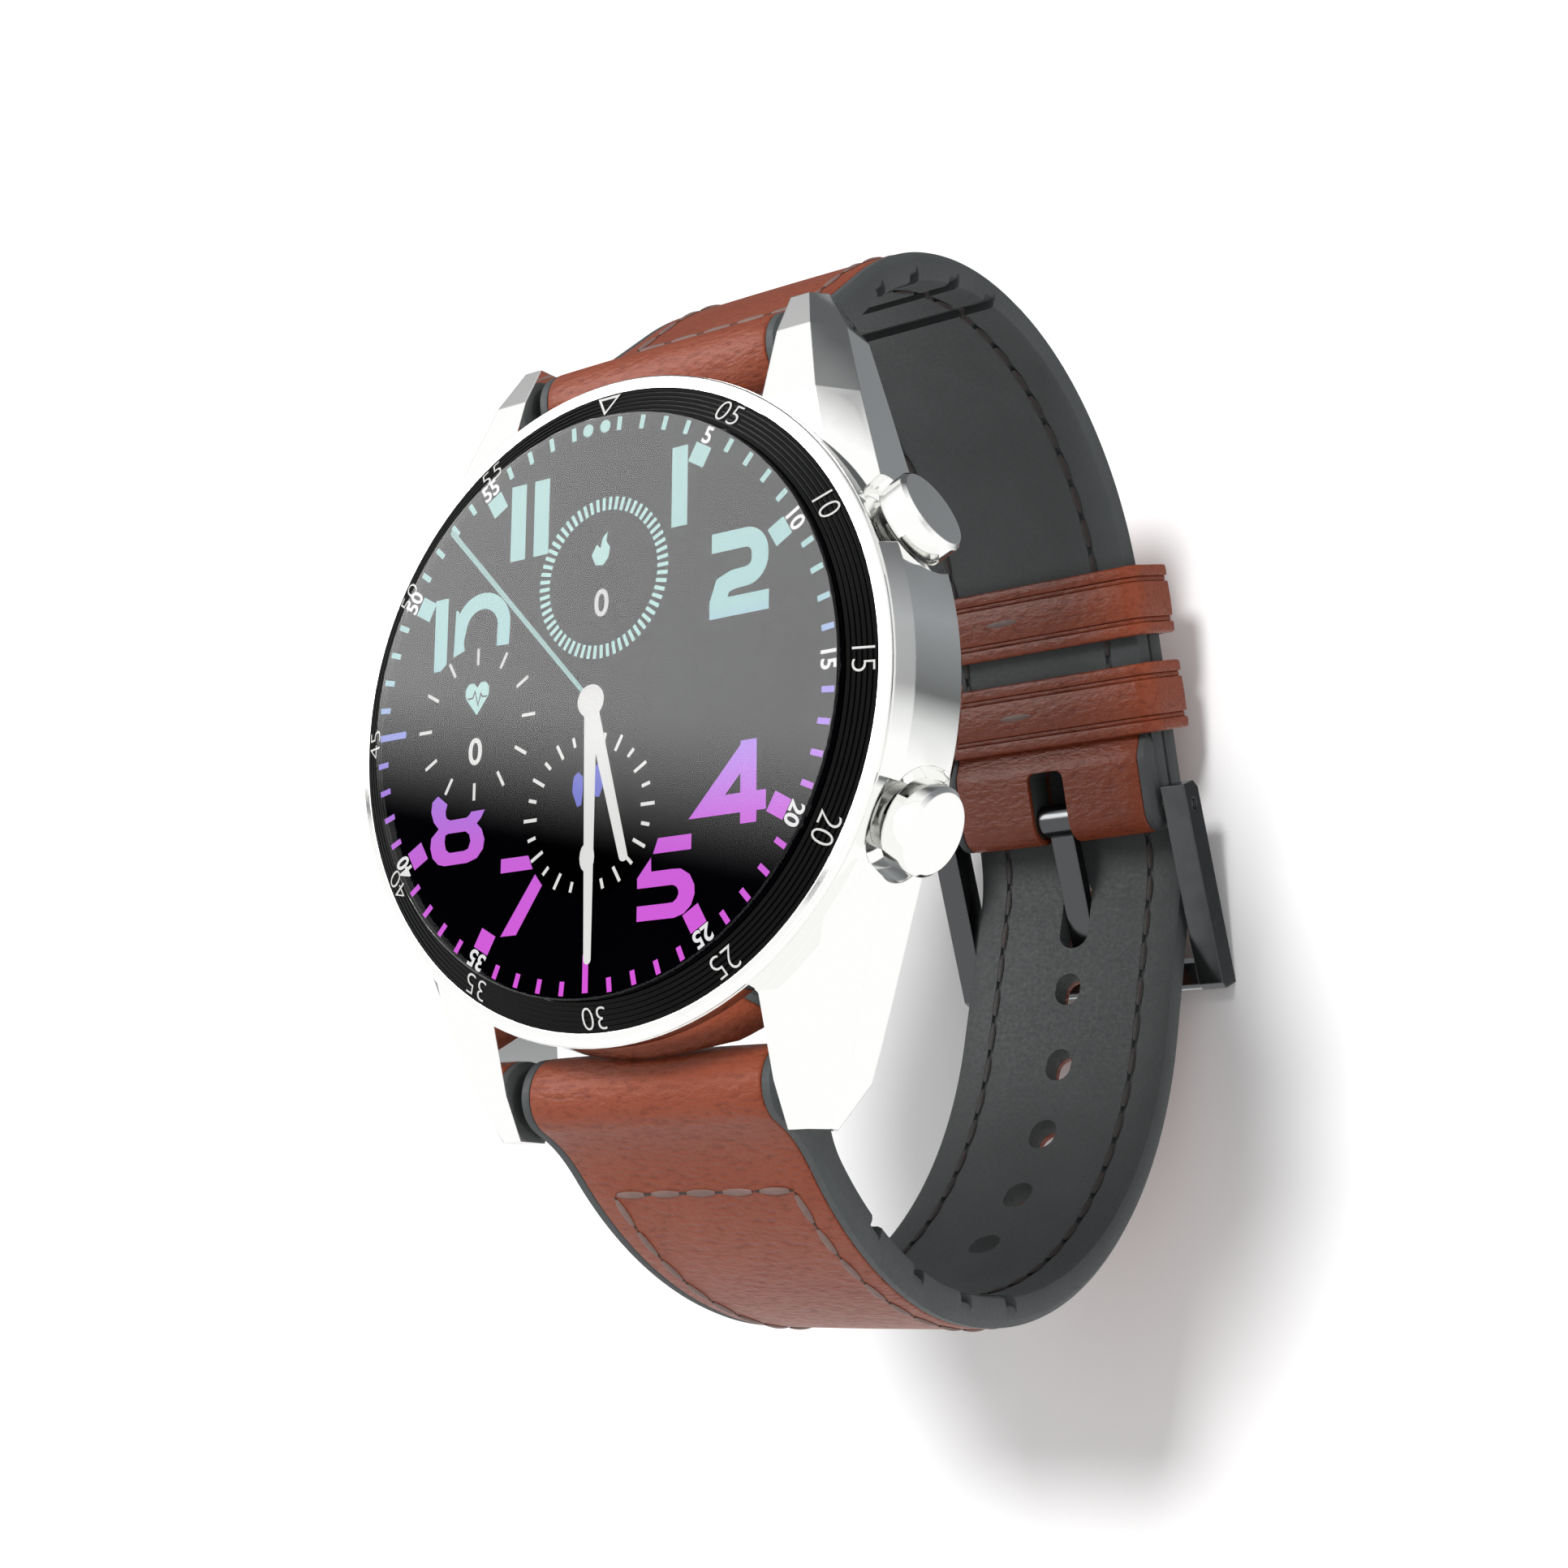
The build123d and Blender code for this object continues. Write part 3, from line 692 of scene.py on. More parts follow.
    def seam(self, name: str, lines: list[list[tuple[float, float]]], face: Face,
             material: bpy.types.Material, slot: Slot, lift: float = 0.16,
             pitch: float = 3.2, sewn: float = 2.5, wide: float = 0.3) -> None:
        """Sew rows of stitches along lines of (length, place across) points."""
        verts: list[Vector] = []
        faces: list[tuple[int, ...]] = []
        for line in lines:
            spans = list(zip(line, line[1:]))
            total = sum(math.dist(a, b) for a, b in spans)
            count = max(1, round(total / pitch))
            for i in range(count):
                ends = []
                for offset in (0.0, sewn / pitch):
                    goal, place = (i + offset + 0.12) * total / count, line[-1]
                    for a, b in spans:
                        span = math.dist(a, b)
                        if goal <= span:
                            place = (a[0] + (b[0] - a[0]) * goal / span, a[1] + (b[1] - a[1]) * goal / span)
                            break
                        goal -= span
                    ends.append(place)
                some, more = self.stitch(ends[0], ends[1], face, lift, wide)
                base = len(verts)
                verts += some
                faces += [tuple(v + base for v in f) for f in more]
        piece(name, verts, faces, material, self.body, 60.0)

    def cutter(self, name: str, length: float, long: float, wide: float) -> bpy.types.Object:
        """Closed slot shape that stands square through the band at a length along it."""
        middle = self.on_face(length, 0, 0, Face.OUTSIDE)
        ahead = self.on_face(length + 0.6, 0, 0, Face.OUTSIDE)
        along = (ahead - middle).normalized()
        out = Vector((0.0, along.z, -along.y))
        ring = []
        straight = (long - wide) / 2
        for i in range(24):
            angle = 2 * math.pi * i / 24
            shift = straight if math.cos(angle) > 0 else -straight
            ring.append((wide / 2 * math.sin(angle), wide / 2 * math.cos(angle) + shift))
        rings = [[middle + Vector((x, 0, 0)) + along * a + out * h for x, a in ring] for h in (-5, 5)]
        verts, faces = loops([self.to_row(points) for points in rings])
        return helper(name, verts, faces)

    def punch(self, things: list[bpy.types.Object], cutters: list[bpy.types.Object]) -> None:
        """Cut closed shapes out of pieces, then give each piece back its finish and shading."""
        for thing in things:
            finish = thing.data.materials[0]
            cut(thing, cutters)
            thing.data.materials.clear()
            thing.data.materials.append(finish)
            thing.data.shade_smooth()
            thing.data.set_sharp_from_angle(angle=math.radians(CREASE))
        drop(cutters)


@dataclass
class LowerStrap(Strap):
    """Long half with the tail: punched holes and a rounded tip."""

    hole_pitch: float = 7.0
    hole_count: int = 6
    first_hole: float = 4.45
    slot_size: tuple[float, float] = (6.4, 2.8)
    hole_size: tuple[float, float] = (2.9, 2.4)

    def lay(self) -> float:
        """Lay every station, and return the band's length."""
        route = rounded_route(self.corners, self.radii, 0.5)
        total = route[-1][2]
        self.lay_lug_end(route)
        self.lay_band(route, total)
        tip = self.half_rear
        shaped = []
        for s in self.stations:
            left = total - s.length
            half = s.half
            if s.length > 0 and left < tip:
                half = max(0.5, math.sqrt(max(tip ** 2 - (tip - left) ** 2, 0.0)))
            shaped.append(Station(s.outside, s.wrist, s.length, half, s.leather and half > self.rim + 0.4))
        self.stations = shaped
        return total

    def build(self, leather: bpy.types.Material, lining: bpy.types.Material,
              thread: bpy.types.Material, dark_thread_and_seam_shade: bpy.types.Material) -> None:
        """Build the leather, the lining, the holes and the seams."""
        total = self.lay()
        face = self.skin("lower_leather_face", [self.leather_ring(s) for s in self.stations if s.leather],
                         leather, Slot.LEATHER, ("lower_strap_leather",))
        back = self.skin("lower_grey_lining", [self.lining_ring(s) for s in self.stations],
                         lining, Slot.ELASTOMER, ("lower_strap_lining",))
        first = self.first_hole_length()
        holes = []
        for i in range(self.hole_count):
            long, wide = self.slot_size if i == 0 else self.hole_size
            holes.append(self.cutter(f"hole_{i}", first - i * self.hole_pitch, long, wide))
        self.punch([face, back], holes)
        x = self.half_rear - self.stitch_inset + 0.6
        end = total - 3.4
        row = [(self.stitch_start, x)] + [(self.stitch_start + (end - 7 - self.stitch_start) * i / 30, x)
                                          for i in range(1, 31)]
        across = [(self.stitch_start, -x), (self.stitch_start, x)]
        round_tip = [(end - 7 + (7 - 0.4) * math.sin(a), x * math.cos(a))
                     for a in [math.pi * i / 16 for i in range(17)]]
        lines = [across, row, [(s, -v) for s, v in row], round_tip]
        # Thin near-black line under the outer stitches: painted shade of the stitch groove.
        self.seam("lower_painted_seam_shade", lines, Face.OUTSIDE, dark_thread_and_seam_shade, Slot.LEATHER, 0.05, 1.6, 1.5, 0.12)
        self.seam("lower_seam", lines, Face.OUTSIDE, thread, Slot.LEATHER)
        inner = self.half_rear - 3.02
        rows = [[(9.0, v), (total - 12, v)] for v in (-inner, inner)]
        self.seam("lower_inner_seam", rows, Face.WRIST, dark_thread_and_seam_shade, Slot.ELASTOMER, 0.1)

    def first_hole_length(self) -> float:
        """Length along the band to the hole that the tongue uses."""
        hump = Vector((0.0, *self.corners[2]))
        before = Vector((0.0, *self.corners[1]))
        target = hump + (before - hump).normalized() * self.first_hole
        band = [s for s in self.stations if s.length > 0]
        return min(band, key=lambda s: ((s.outside + s.wrist) / 2 - target).length).length


@dataclass
class UpperStrap(Strap):
    """Short half, whose leather folds round the buckle bar and returns on the wrist side."""

    bar: tuple[float, float] = (2.5, -62.5)
    tilt: float = 15.0
    fold: float = 2.0
    lip: float = 7.0
    lip_fall_start: float = 4.3
    lip_fall_run: float = 2.6
    lip_fall: float = 1.28

    def lay(self) -> float:
        """Lay every station, and return the length at which the fold starts."""
        route = rounded_route(self.corners, self.radii, 0.5)
        total = route[-1][2]
        self.lay_lug_end(route)
        self.lay_band(route, total - 0.25)
        turn = math.radians(self.tilt)
        back = Vector((0.0, math.cos(turn), math.sin(turn)))
        wrist = Vector((0.0, -math.sin(turn), math.cos(turn)))
        centre = Vector((0.0, *self.bar))
        half = self.half_rear
        for i in range(1, 18):
            angle = math.pi * i / 17
            reach = wrist * -math.cos(angle) - back * math.sin(angle)
            size = 1.94 + (self.fold - 1.94) * i / 17
            self.stations.append(Station(centre + reach * size, centre, total + 0.35 * i, half))
        count = 14
        for i in range(1, count + 1):
            along = self.lip * i / count
            fall = min(1.0, max(0.0, (along - self.lip_fall_start) / self.lip_fall_run))
            high = self.fold - self.lip_fall * fall * fall * (3 - 2 * fall)
            self.stations.append(Station(centre + back * along + wrist * high,
                                         centre + back * along + wrist * 0.1,
                                         total + 6 + along, half))
        return total

    def build(self, leather: bpy.types.Material, lining: bpy.types.Material,
              thread: bpy.types.Material, dark_thread_and_seam_shade: bpy.types.Material) -> None:
        """Build the leather, the lining, the tongue notch and the seams."""
        total = self.lay()
        face = self.skin("upper_leather_face", [self.leather_ring(s) for s in self.stations if s.leather],
                         leather, Slot.LEATHER, ("upper_strap_leather",))
        back = self.skin("upper_grey_lining", [self.lining_ring(s) for s in self.stations],
                         lining, Slot.ELASTOMER, ("upper_strap_lining",))
        self.punch([face, back], [self.notch_cutter()])
        x = self.half_rear - self.stitch_inset + 0.6
        row = [(self.stitch_start + (total - 9 - self.stitch_start) * i / 30, x) for i in range(31)]
        across = [(self.stitch_start, -x), (self.stitch_start, x)]
        lines = [across, row, [(s, -v) for s, v in row]]
        # Thin near-black line under the outer stitches: painted shade of the stitch groove.
        self.seam("upper_painted_seam_shade", lines, Face.OUTSIDE, dark_thread_and_seam_shade, Slot.LEATHER, 0.05, 1.6, 1.5, 0.12)
        self.seam("upper_seam", lines, Face.OUTSIDE, thread, Slot.LEATHER)
        inner = self.half_rear - 3.02
        rows = [[(15.0, v), (total - 7, v)] for v in (-inner, inner)]
        self.seam("upper_inner_seam", rows, Face.WRIST, dark_thread_and_seam_shade, Slot.ELASTOMER, 0.1)

    def notch_cutter(self) -> bpy.types.Object:
        """Rounded shape of the notch in which the tongue turns."""
        turn = math.radians(self.tilt)
        back = Vector((0.0, math.cos(turn), math.sin(turn)))
        wrist = Vector((0.0, -math.sin(turn), math.cos(turn)))
        centre = Vector((0.0, *self.bar))
        wide, reach, corner = 1.75, 4.4, 0.7
        outline = [(-wide, -4.0), (wide, -4.0)]
        outline += [(wide - corner + corner * math.cos(a), reach - corner + corner * math.sin(a))
                    for a in [math.pi / 2 * i / 5 for i in range(6)]]
        outline += [(-wide + corner - corner * math.sin(a), reach - corner + corner * math.cos(a))
                    for a in [math.pi / 2 * i / 5 for i in range(6)]]
        rings = [[centre + Vector((x, 0, 0)) + back * a + wrist * h for x, a in outline] for h in (-5, 5)]
        verts, faces = loops([self.to_row(points) for points in rings])
        return helper("notch", verts, faces)


@dataclass
class Keeper:
    """Leather loop with a creased channel beside each edge and one sewn tack."""

    name: str
    node: str
    body: Body
    datum: Datum
    tilt: float = 15.0
    half_x: float = 11.25
    half_z: float = 3.675
    half_w: float = 2.95
    wall: float = 1.0
    corner: float = 1.6

    def outline(self) -> list[tuple[float, float]]:
        """Rounded outline of the loop's outer face."""
        radius = self.corner
        points = []
        for quarter, (sx, sz) in enumerate(((1, 1), (-1, 1), (-1, -1), (1, -1))):
            for i in range(9):
                angle = math.pi / 2 * (quarter + i / 8)
                x = sx * (self.half_x - radius) + radius * math.cos(angle)
                z = sz * (self.half_z - radius) + radius * math.sin(angle)
                points.append((x, z))
        dense = []
        for (x0, z0), (x1, z1) in zip(points, points[1:] + points[:1]):
            count = max(1, int(math.hypot(x1 - x0, z1 - z0) / 1.2))
            dense += [(x0 + (x1 - x0) * i / count, z0 + (z1 - z0) * i / count) for i in range(count)]
        return dense

    def section(self) -> list[tuple[float, float]]:
        """Cross section as (place across the loop, depth below its outer face)."""
        half = self.half_w
        right = [(0.0, -0.03), (half - 1.56, 0.0), (half - 1.46, 0.05), (half - 1.42, 0.3),
                 (half - 1.34, 0.22), (half - 1.06, 0.22), (half - 0.98, 0.3), (half - 0.94, 0.05),
                 (half - 0.84, 0.0), (half - 0.22, 0.02), (half - 0.05, 0.1), (half, 0.28),
                 (half, self.wall - 0.15), (half - 0.15, self.wall)]
        left = [(-y, d) for y, d in reversed(right[1:])]
        return right + left

    def build(self, leather: bpy.types.Material, thread: bpy.types.Material) -> None:
        """Build the loop and its tack."""
        low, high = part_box(self.node)
        centre = self.datum.local((low + high) / 2)
        turn = math.radians(self.tilt)
        along = Vector((0.0, math.cos(turn), math.sin(turn)))
        outward = Vector((0.0, math.sin(turn), -math.cos(turn)))
        section = self.section()
        rings = []
        for i in range(len(self.outline())):
            ring = []
            for across, depth in section:
                x, z = self.outline_point(i, depth)
                point = centre + Vector((x, 0.0, 0.0)) + outward * z + along * across
                ring.append(self.datum.at(point.x, point.y, point.z))
            rings.append(ring)
        verts, faces = loops(rings, closed=True)
        thing = piece(self.name, verts, faces, leather, self.body, 50.0)
        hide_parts(self.node)
        self.tack(centre, along, outward, thread)

    def outline_point(self, index: int, inset: float) -> tuple[float, float]:
        """Outline point of one number at an inset, keeping its place round the loop."""
        x, z = self.outline()[index]
        flat_x, flat_z = self.half_x - self.corner, self.half_z - self.corner
        cx, cz = min(max(x, -flat_x), flat_x), min(max(z, -flat_z), flat_z)
        reach = math.hypot(x - cx, z - cz)
        scale = (self.corner - inset) / reach if reach > 1e-6 else 1.0
        return cx + (x - cx) * scale, cz + (z - cz) * scale

    def tack(self, centre: Vector, along: Vector, outward: Vector, thread: bpy.types.Material) -> None:
        """Sewn tack on the wrist side, where the loop's ends meet."""
        rings = []
        for i in range(7):
            t = i / 6
            swell = math.sin(math.pi * (0.06 + 0.88 * t)) ** 0.5
            ring = []
            for j in range(8):
                angle = 2 * math.pi * j / 8
                point = (centre + Vector((-3.6 + 3.0 * t, 0.0, 0.0)) + along * (0.3 * swell * math.cos(angle))
                         - outward * (self.half_z + 0.1 * swell * math.sin(angle)))
                ring.append(self.datum.at(point.x, point.y, point.z))
            rings.append(ring)
        verts, faces = loops(rings)
        piece(f"{self.name}_tack", verts, faces, thread, self.body, 60.0)


# ---------------------------------------------------------------- dial

Outline = list[tuple[float, float]]


@dataclass
class Picture:
    """Lit watch face: digits, minute track, three small dials and the hands."""

    datum: Datum
    height: float = 0.72
    offset: tuple[float, float] = (-0.3, 0.1)
    layers: dict[str, list[list[tuple[float, float]]]] = field(default_factory=dict)

    def put(self, layer: str, outline: Outline) -> None:
        """Keep one filled outline for a layer."""
        self.layers.setdefault(layer, []).append(outline)

    def bar(self, layer: str, x: float, y: float, long: float, wide: float, angle: float,
            taper: float = 1.0) -> None:
        """Rectangle centred on a point, its long side along an angle in degrees."""
        a = math.radians(angle)
        ahead, side = (math.cos(a), math.sin(a)), (-math.sin(a), math.cos(a))
        corners = [(-0.5, -0.5), (0.5, -0.5 * taper), (0.5, 0.5 * taper), (-0.5, 0.5)]
        self.put(layer, [(x + ahead[0] * long * u + side[0] * wide * v,
                          y + ahead[1] * long * u + side[1] * wide * v) for u, v in corners])

    def disc(self, layer: str, x: float, y: float, radius: float) -> None:
        """Filled circle."""
        self.put(layer, [(x + radius * math.cos(2 * math.pi * i / 32),
                          y + radius * math.sin(2 * math.pi * i / 32)) for i in range(32)])

    def stroke(self, layer: str, line: Outline, wide: float) -> None:
        """Band of even width along a line, with mitred corners."""
        left, right = [], []
        for i, (x, y) in enumerate(line):
            before = line[max(i - 1, 0)]
            after = line[min(i + 1, len(line) - 1)]
            first = Vector((x - before[0], y - before[1]))
            second = Vector((after[0] - x, after[1] - y))
            first = first.normalized() if first.length > 1e-6 else second.normalized()
            second = second.normalized() if second.length > 1e-6 else first
            middle = (first + second).normalized()
            side = Vector((-middle.y, middle.x)) / max(0.4, middle.dot(first))
            left.append((x + side.x * wide / 2, y + side.y * wide / 2))
            right.append((x - side.x * wide / 2, y - side.y * wide / 2))
        for i in range(len(line) - 1):
            self.put(layer, [left[i], left[i + 1], right[i + 1], right[i]])

    def between(self, layer: str, first: Outline, second: Outline) -> None:
        """Fill the strip between two lines that have the same number of points."""
        for i in range(len(first) - 1):
            self.put(layer, [first[i], first[i + 1], second[i + 1], second[i]])

    @staticmethod
    def arc(x: float, y: float, radius: float, start: float, end: float, squash: float = 1.0) -> Outline:
        """Points on an arc between two angles in degrees."""
        count = max(6, int(abs(end - start) / 9))
        return [(x + radius * math.cos(math.radians(start + (end - start) * i / count)),
                 y + squash * radius * math.sin(math.radians(start + (end - start) * i / count)))
                for i in range(count + 1)]

    def digits(self) -> None:
        """The big hour digits, open where a small dial cuts into them."""
        ink = "ink"
        for x in (-6.85, -4.75):
            self.bar(ink, x, 13.6, 5.4, 1.35, 90)
        self.bar(ink, 7.2, 13.45, 5.5, 1.3, 90)
        wide = 1.3
        top = self.arc(12.6, 7.8, 1.15, 90, 0) + self.arc(12.6, 7.5, 1.15, 0, -80)
        self.stroke(ink, [(9.9, 8.95)] + top + [(11.6, 6.3), (10.8, 6.0), (10.5, 5.2), (10.5, 4.55)], wide)
        self.bar(ink, 12.1, 4.55, 4.7, wide, 0)
        self.stroke(ink, [(12.9, -4.9), (9.7, -8.3), (14.3, -8.3)], 1.25)
        self.bar(ink, 12.95, -7.0, 5.3, 1.25, 90)
        self.put(ink, [(5.83, -9.85), (8.52, -9.85), (8.5, -10.84), (5.44, -10.84)])
        self.between(ink, [(5.28, -11.06), (5.32, -11.97), (6.96, -11.96), (7.69, -12.0), (8.42, -12.44),
                           (8.79, -13.13), (8.82, -13.71), (8.54, -14.41), (7.96, -14.9), (7.19, -15.1),
                           (4.18, -15.1)],
                     [(4.17, -12.31), (4.19, -12.98), (6.4, -12.98), (7.06, -12.98), (7.39, -13.14),
                      (7.53, -13.4), (7.53, -13.62), (7.4, -13.87), (7.1, -14.1), (6.6, -14.12),
                      (4.18, -14.12)])
        self.put(ink, [(-7.57, -9.83), (-5.15, -9.83), (-4.74, -10.78), (-7.57, -10.8)])
        self.put(ink, [(-4.51, -11.15), (-3.88, -11.96), (-6.06, -15.08), (-7.44, -15.08)])
        self.between(ink, [(-13.4, -7.14), (-14.07, -7.72), (-14.13, -8.41), (-13.89, -9.13), (-13.34, -9.62),
                           (-12.75, -9.77), (-10.69, -9.75), (-9.79, -9.51), (-9.25, -8.93), (-9.14, -8.26),
                           (-9.42, -7.55), (-9.89, -7.11), (-13.4, -7.14)],
                     [(-12.76, -7.65), (-12.81, -8.12), (-12.67, -8.65), (-12.33, -8.9), (-11.75, -8.9),
                      (-10.95, -8.89), (-10.61, -8.78), (-10.41, -8.29), (-10.54, -7.81), (-10.9, -7.55),
                      (-11.7, -7.55), (-12.51, -7.55), (-12.76, -7.65)])
        self.between(ink, [(-13.57, -4.82), (-14.08, -5.19), (-14.16, -5.88), (-13.89, -6.61), (-13.4, -7.14),
                           (-9.89, -7.11), (-9.51, -6.77), (-9.19, -6.23)],
                     [(-12.66, -5.49), (-12.81, -5.95), (-12.78, -6.25), (-12.67, -6.49), (-12.32, -6.64),
                      (-10.82, -6.61), (-10.55, -6.42), (-10.44, -6.25)])
        self.bar(ink, -13.8, 6.7, 5.2, 1.2, 90)
        self.stroke(ink, [(-12.0, 4.9), (-12.0, 6.9)] + self.arc(-9.95, 6.5, 2.05, 170, 10, 1.0)
                    + [(-7.95, 6.2), (-8.0, 5.1)], 1.15)

    def track(self) -> None:
        """Minute ticks, square markers and the two long marks."""
        for minute in range(60):
            angle = 90 - 6 * minute
            a = math.radians(angle)
            if minute % 5:
                self.bar("ink", 19.05 * math.cos(a), 19.05 * math.sin(a), 0.95, 0.4, angle)
            elif minute in (30, 45):
                self.bar("ink", 18.1 * math.cos(a), 18.1 * math.sin(a), 2.5, 0.48, angle)
            elif minute and minute != 15:
                self.bar("ink", 17.65 * math.cos(a), 17.65 * math.sin(a), 1.4, 1.4, angle)
        for x in (-0.75, 0.75):
            self.disc("ink", x, 19.0, 0.45)

    def small_dials(self) -> None:
        """Three small dials, each on its own dark disc, with plain icons."""
        centres = {"top": (0.8, 8.35), "left": (-10.2, -0.15), "low": (-0.05, -7.5)}
        for x, y in centres.values():
            self.disc("dark", x, y, 5.55)
        x, y = centres["top"]
        for i in range(60):
            a = math.radians(i * 6)
            self.bar("pale", x + 5.1 * math.cos(a), y + 5.1 * math.sin(a), 0.9, 0.27, i * 6)
        flame = [(-0.5, -0.95), (-0.85, -0.2), (-0.4, 0.5), (-0.1, 0.15), (0.1, 0.9), (0.55, 1.25),
                 (0.4, 0.6), (0.75, 0.1), (0.6, -0.6), (0.15, -1.05)]
        self.put("pale", [(x - 0.15 + u, y + 1.9 + v) for u, v in flame])
        x, y = centres["left"]
        for i in range(12):
            a = math.radians(i * 30)
            self.bar("white", x + 4.75 * math.cos(a), y + 4.75 * math.sin(a), 1.2, 0.24, i * 30)
        heart = [(0.0, -1.3), (-1.05, 0.0), (-1.1, 0.6), (-0.75, 1.0), (-0.3, 1.0), (0.0, 0.65), (0.3, 1.0),
                 (0.75, 1.0), (1.1, 0.6), (1.05, 0.0)]
        self.put("pale", [(x + u, y + 1.9 + v) for u, v in heart])
        self.layers.setdefault("line", [])
        pulse = [(-0.9, 1.85), (-0.4, 1.85), (-0.2, 2.3), (0.1, 1.3), (0.35, 2.1), (0.5, 1.85), (0.95, 1.85)]
        self.stroke("line", [(x + u, y + v) for u, v in pulse], 0.1)
        x, y = centres["low"]
        for i in range(24):
            a = math.radians(i * 15)
            long = 1.15 if i % 2 == 0 else 0.7
            self.bar("white", x + 5.0 * math.cos(a), y + 5.0 * math.sin(a), long, 0.24, i * 15)
        sole = [(-0.5, -1.0), (-0.9, 0.0), (-0.8, 0.9), (-0.45, 1.15), (-0.1, 0.8), (-0.1, -0.1),
                (-0.2, -0.9)]
        for sign, lift in ((1, 0.0), (-1, 0.45)):
            self.put("violet", [(x - 0.35 * sign + sign * u * 1.15, y + 1.55 + lift + v * 1.1)
                                for u, v in sole])

    def hands(self) -> None:
        """Hour, minute and second hand and their hub, as the display draws them."""
        self.hand("white", 3.0, -10.7, 1.05, 0.72)
        self.hand("white", 0.15, -17.2, 1.1, 0.62)
        self.hand("mint", -13.0, 14.0, 0.32, 0.42)
        self.disc("white", 0.0, 0.0, 1.12)

    def hand(self, layer: str, x: float, y: float, root: float, tip: float) -> None:
        """Tapered hand from the middle to a tip."""
        long = math.hypot(x, y)
        angle = math.degrees(math.atan2(y, x))
        self.bar(layer + "_hand", x / 2, y / 2, long, root, angle, tip / root)
        self.disc(layer + "_hand", x, y, tip / 2)

    def emit(self, layer: str, material: bpy.types.Material, lift: float) -> None:
        """Turn one layer's outlines into thin raised tiles of light."""
        verts: list[Vector] = []
        faces: list[tuple[int, ...]] = []
        for outline in self.layers[layer]:
            base = len(verts)
            ring = [self.datum.at(x + self.offset[0], y + self.offset[1], self.height + lift)
                    for x, y in outline]
            verts += ring
            faces.append(tuple(range(base, base + len(ring))))
        piece(f"picture_{layer}", verts, faces, material, Body.CASE)


@dataclass
class Lettering:
    """Generic numbers on a dial, as flat mesh."""

    datum: Datum

    def number(self, name: str, text: str, size: float, matrix: Matrix, thin: float,
               material: bpy.types.Material) -> bpy.types.Object:
        """One number.

        Args:
            name: piece name.
            text: digits only.
            size: letter size in millimetres.
            matrix: place and turn, in dial millimetres.
            thin: how much each stroke is thinned, in millimetres.
            material: its finish.

        Returns:
            The new piece.
        """
        curve = bpy.data.curves.new(name, "FONT")
        curve.body = text
        curve.size = size
        curve.align_x = "CENTER"
        curve.align_y = "CENTER"
        curve.offset = -thin
        curve.resolution_u = 4
        loose = bpy.data.objects.new(name + "_curve", curve)
        bpy.context.scene.collection.objects.link(loose)
        bpy.context.view_layer.update()
        mesh = bpy.data.meshes.new_from_object(loose)
        bpy.data.objects.remove(loose)
        mesh.transform(Matrix.Translation(self.datum.origin) @ Matrix.Scale(MM, 4) @ matrix)
        thing = bpy.data.objects.new(name, mesh)
        bpy.context.scene.collection.objects.link(thing)
        return finish_piece(thing, material, Body.CASE)


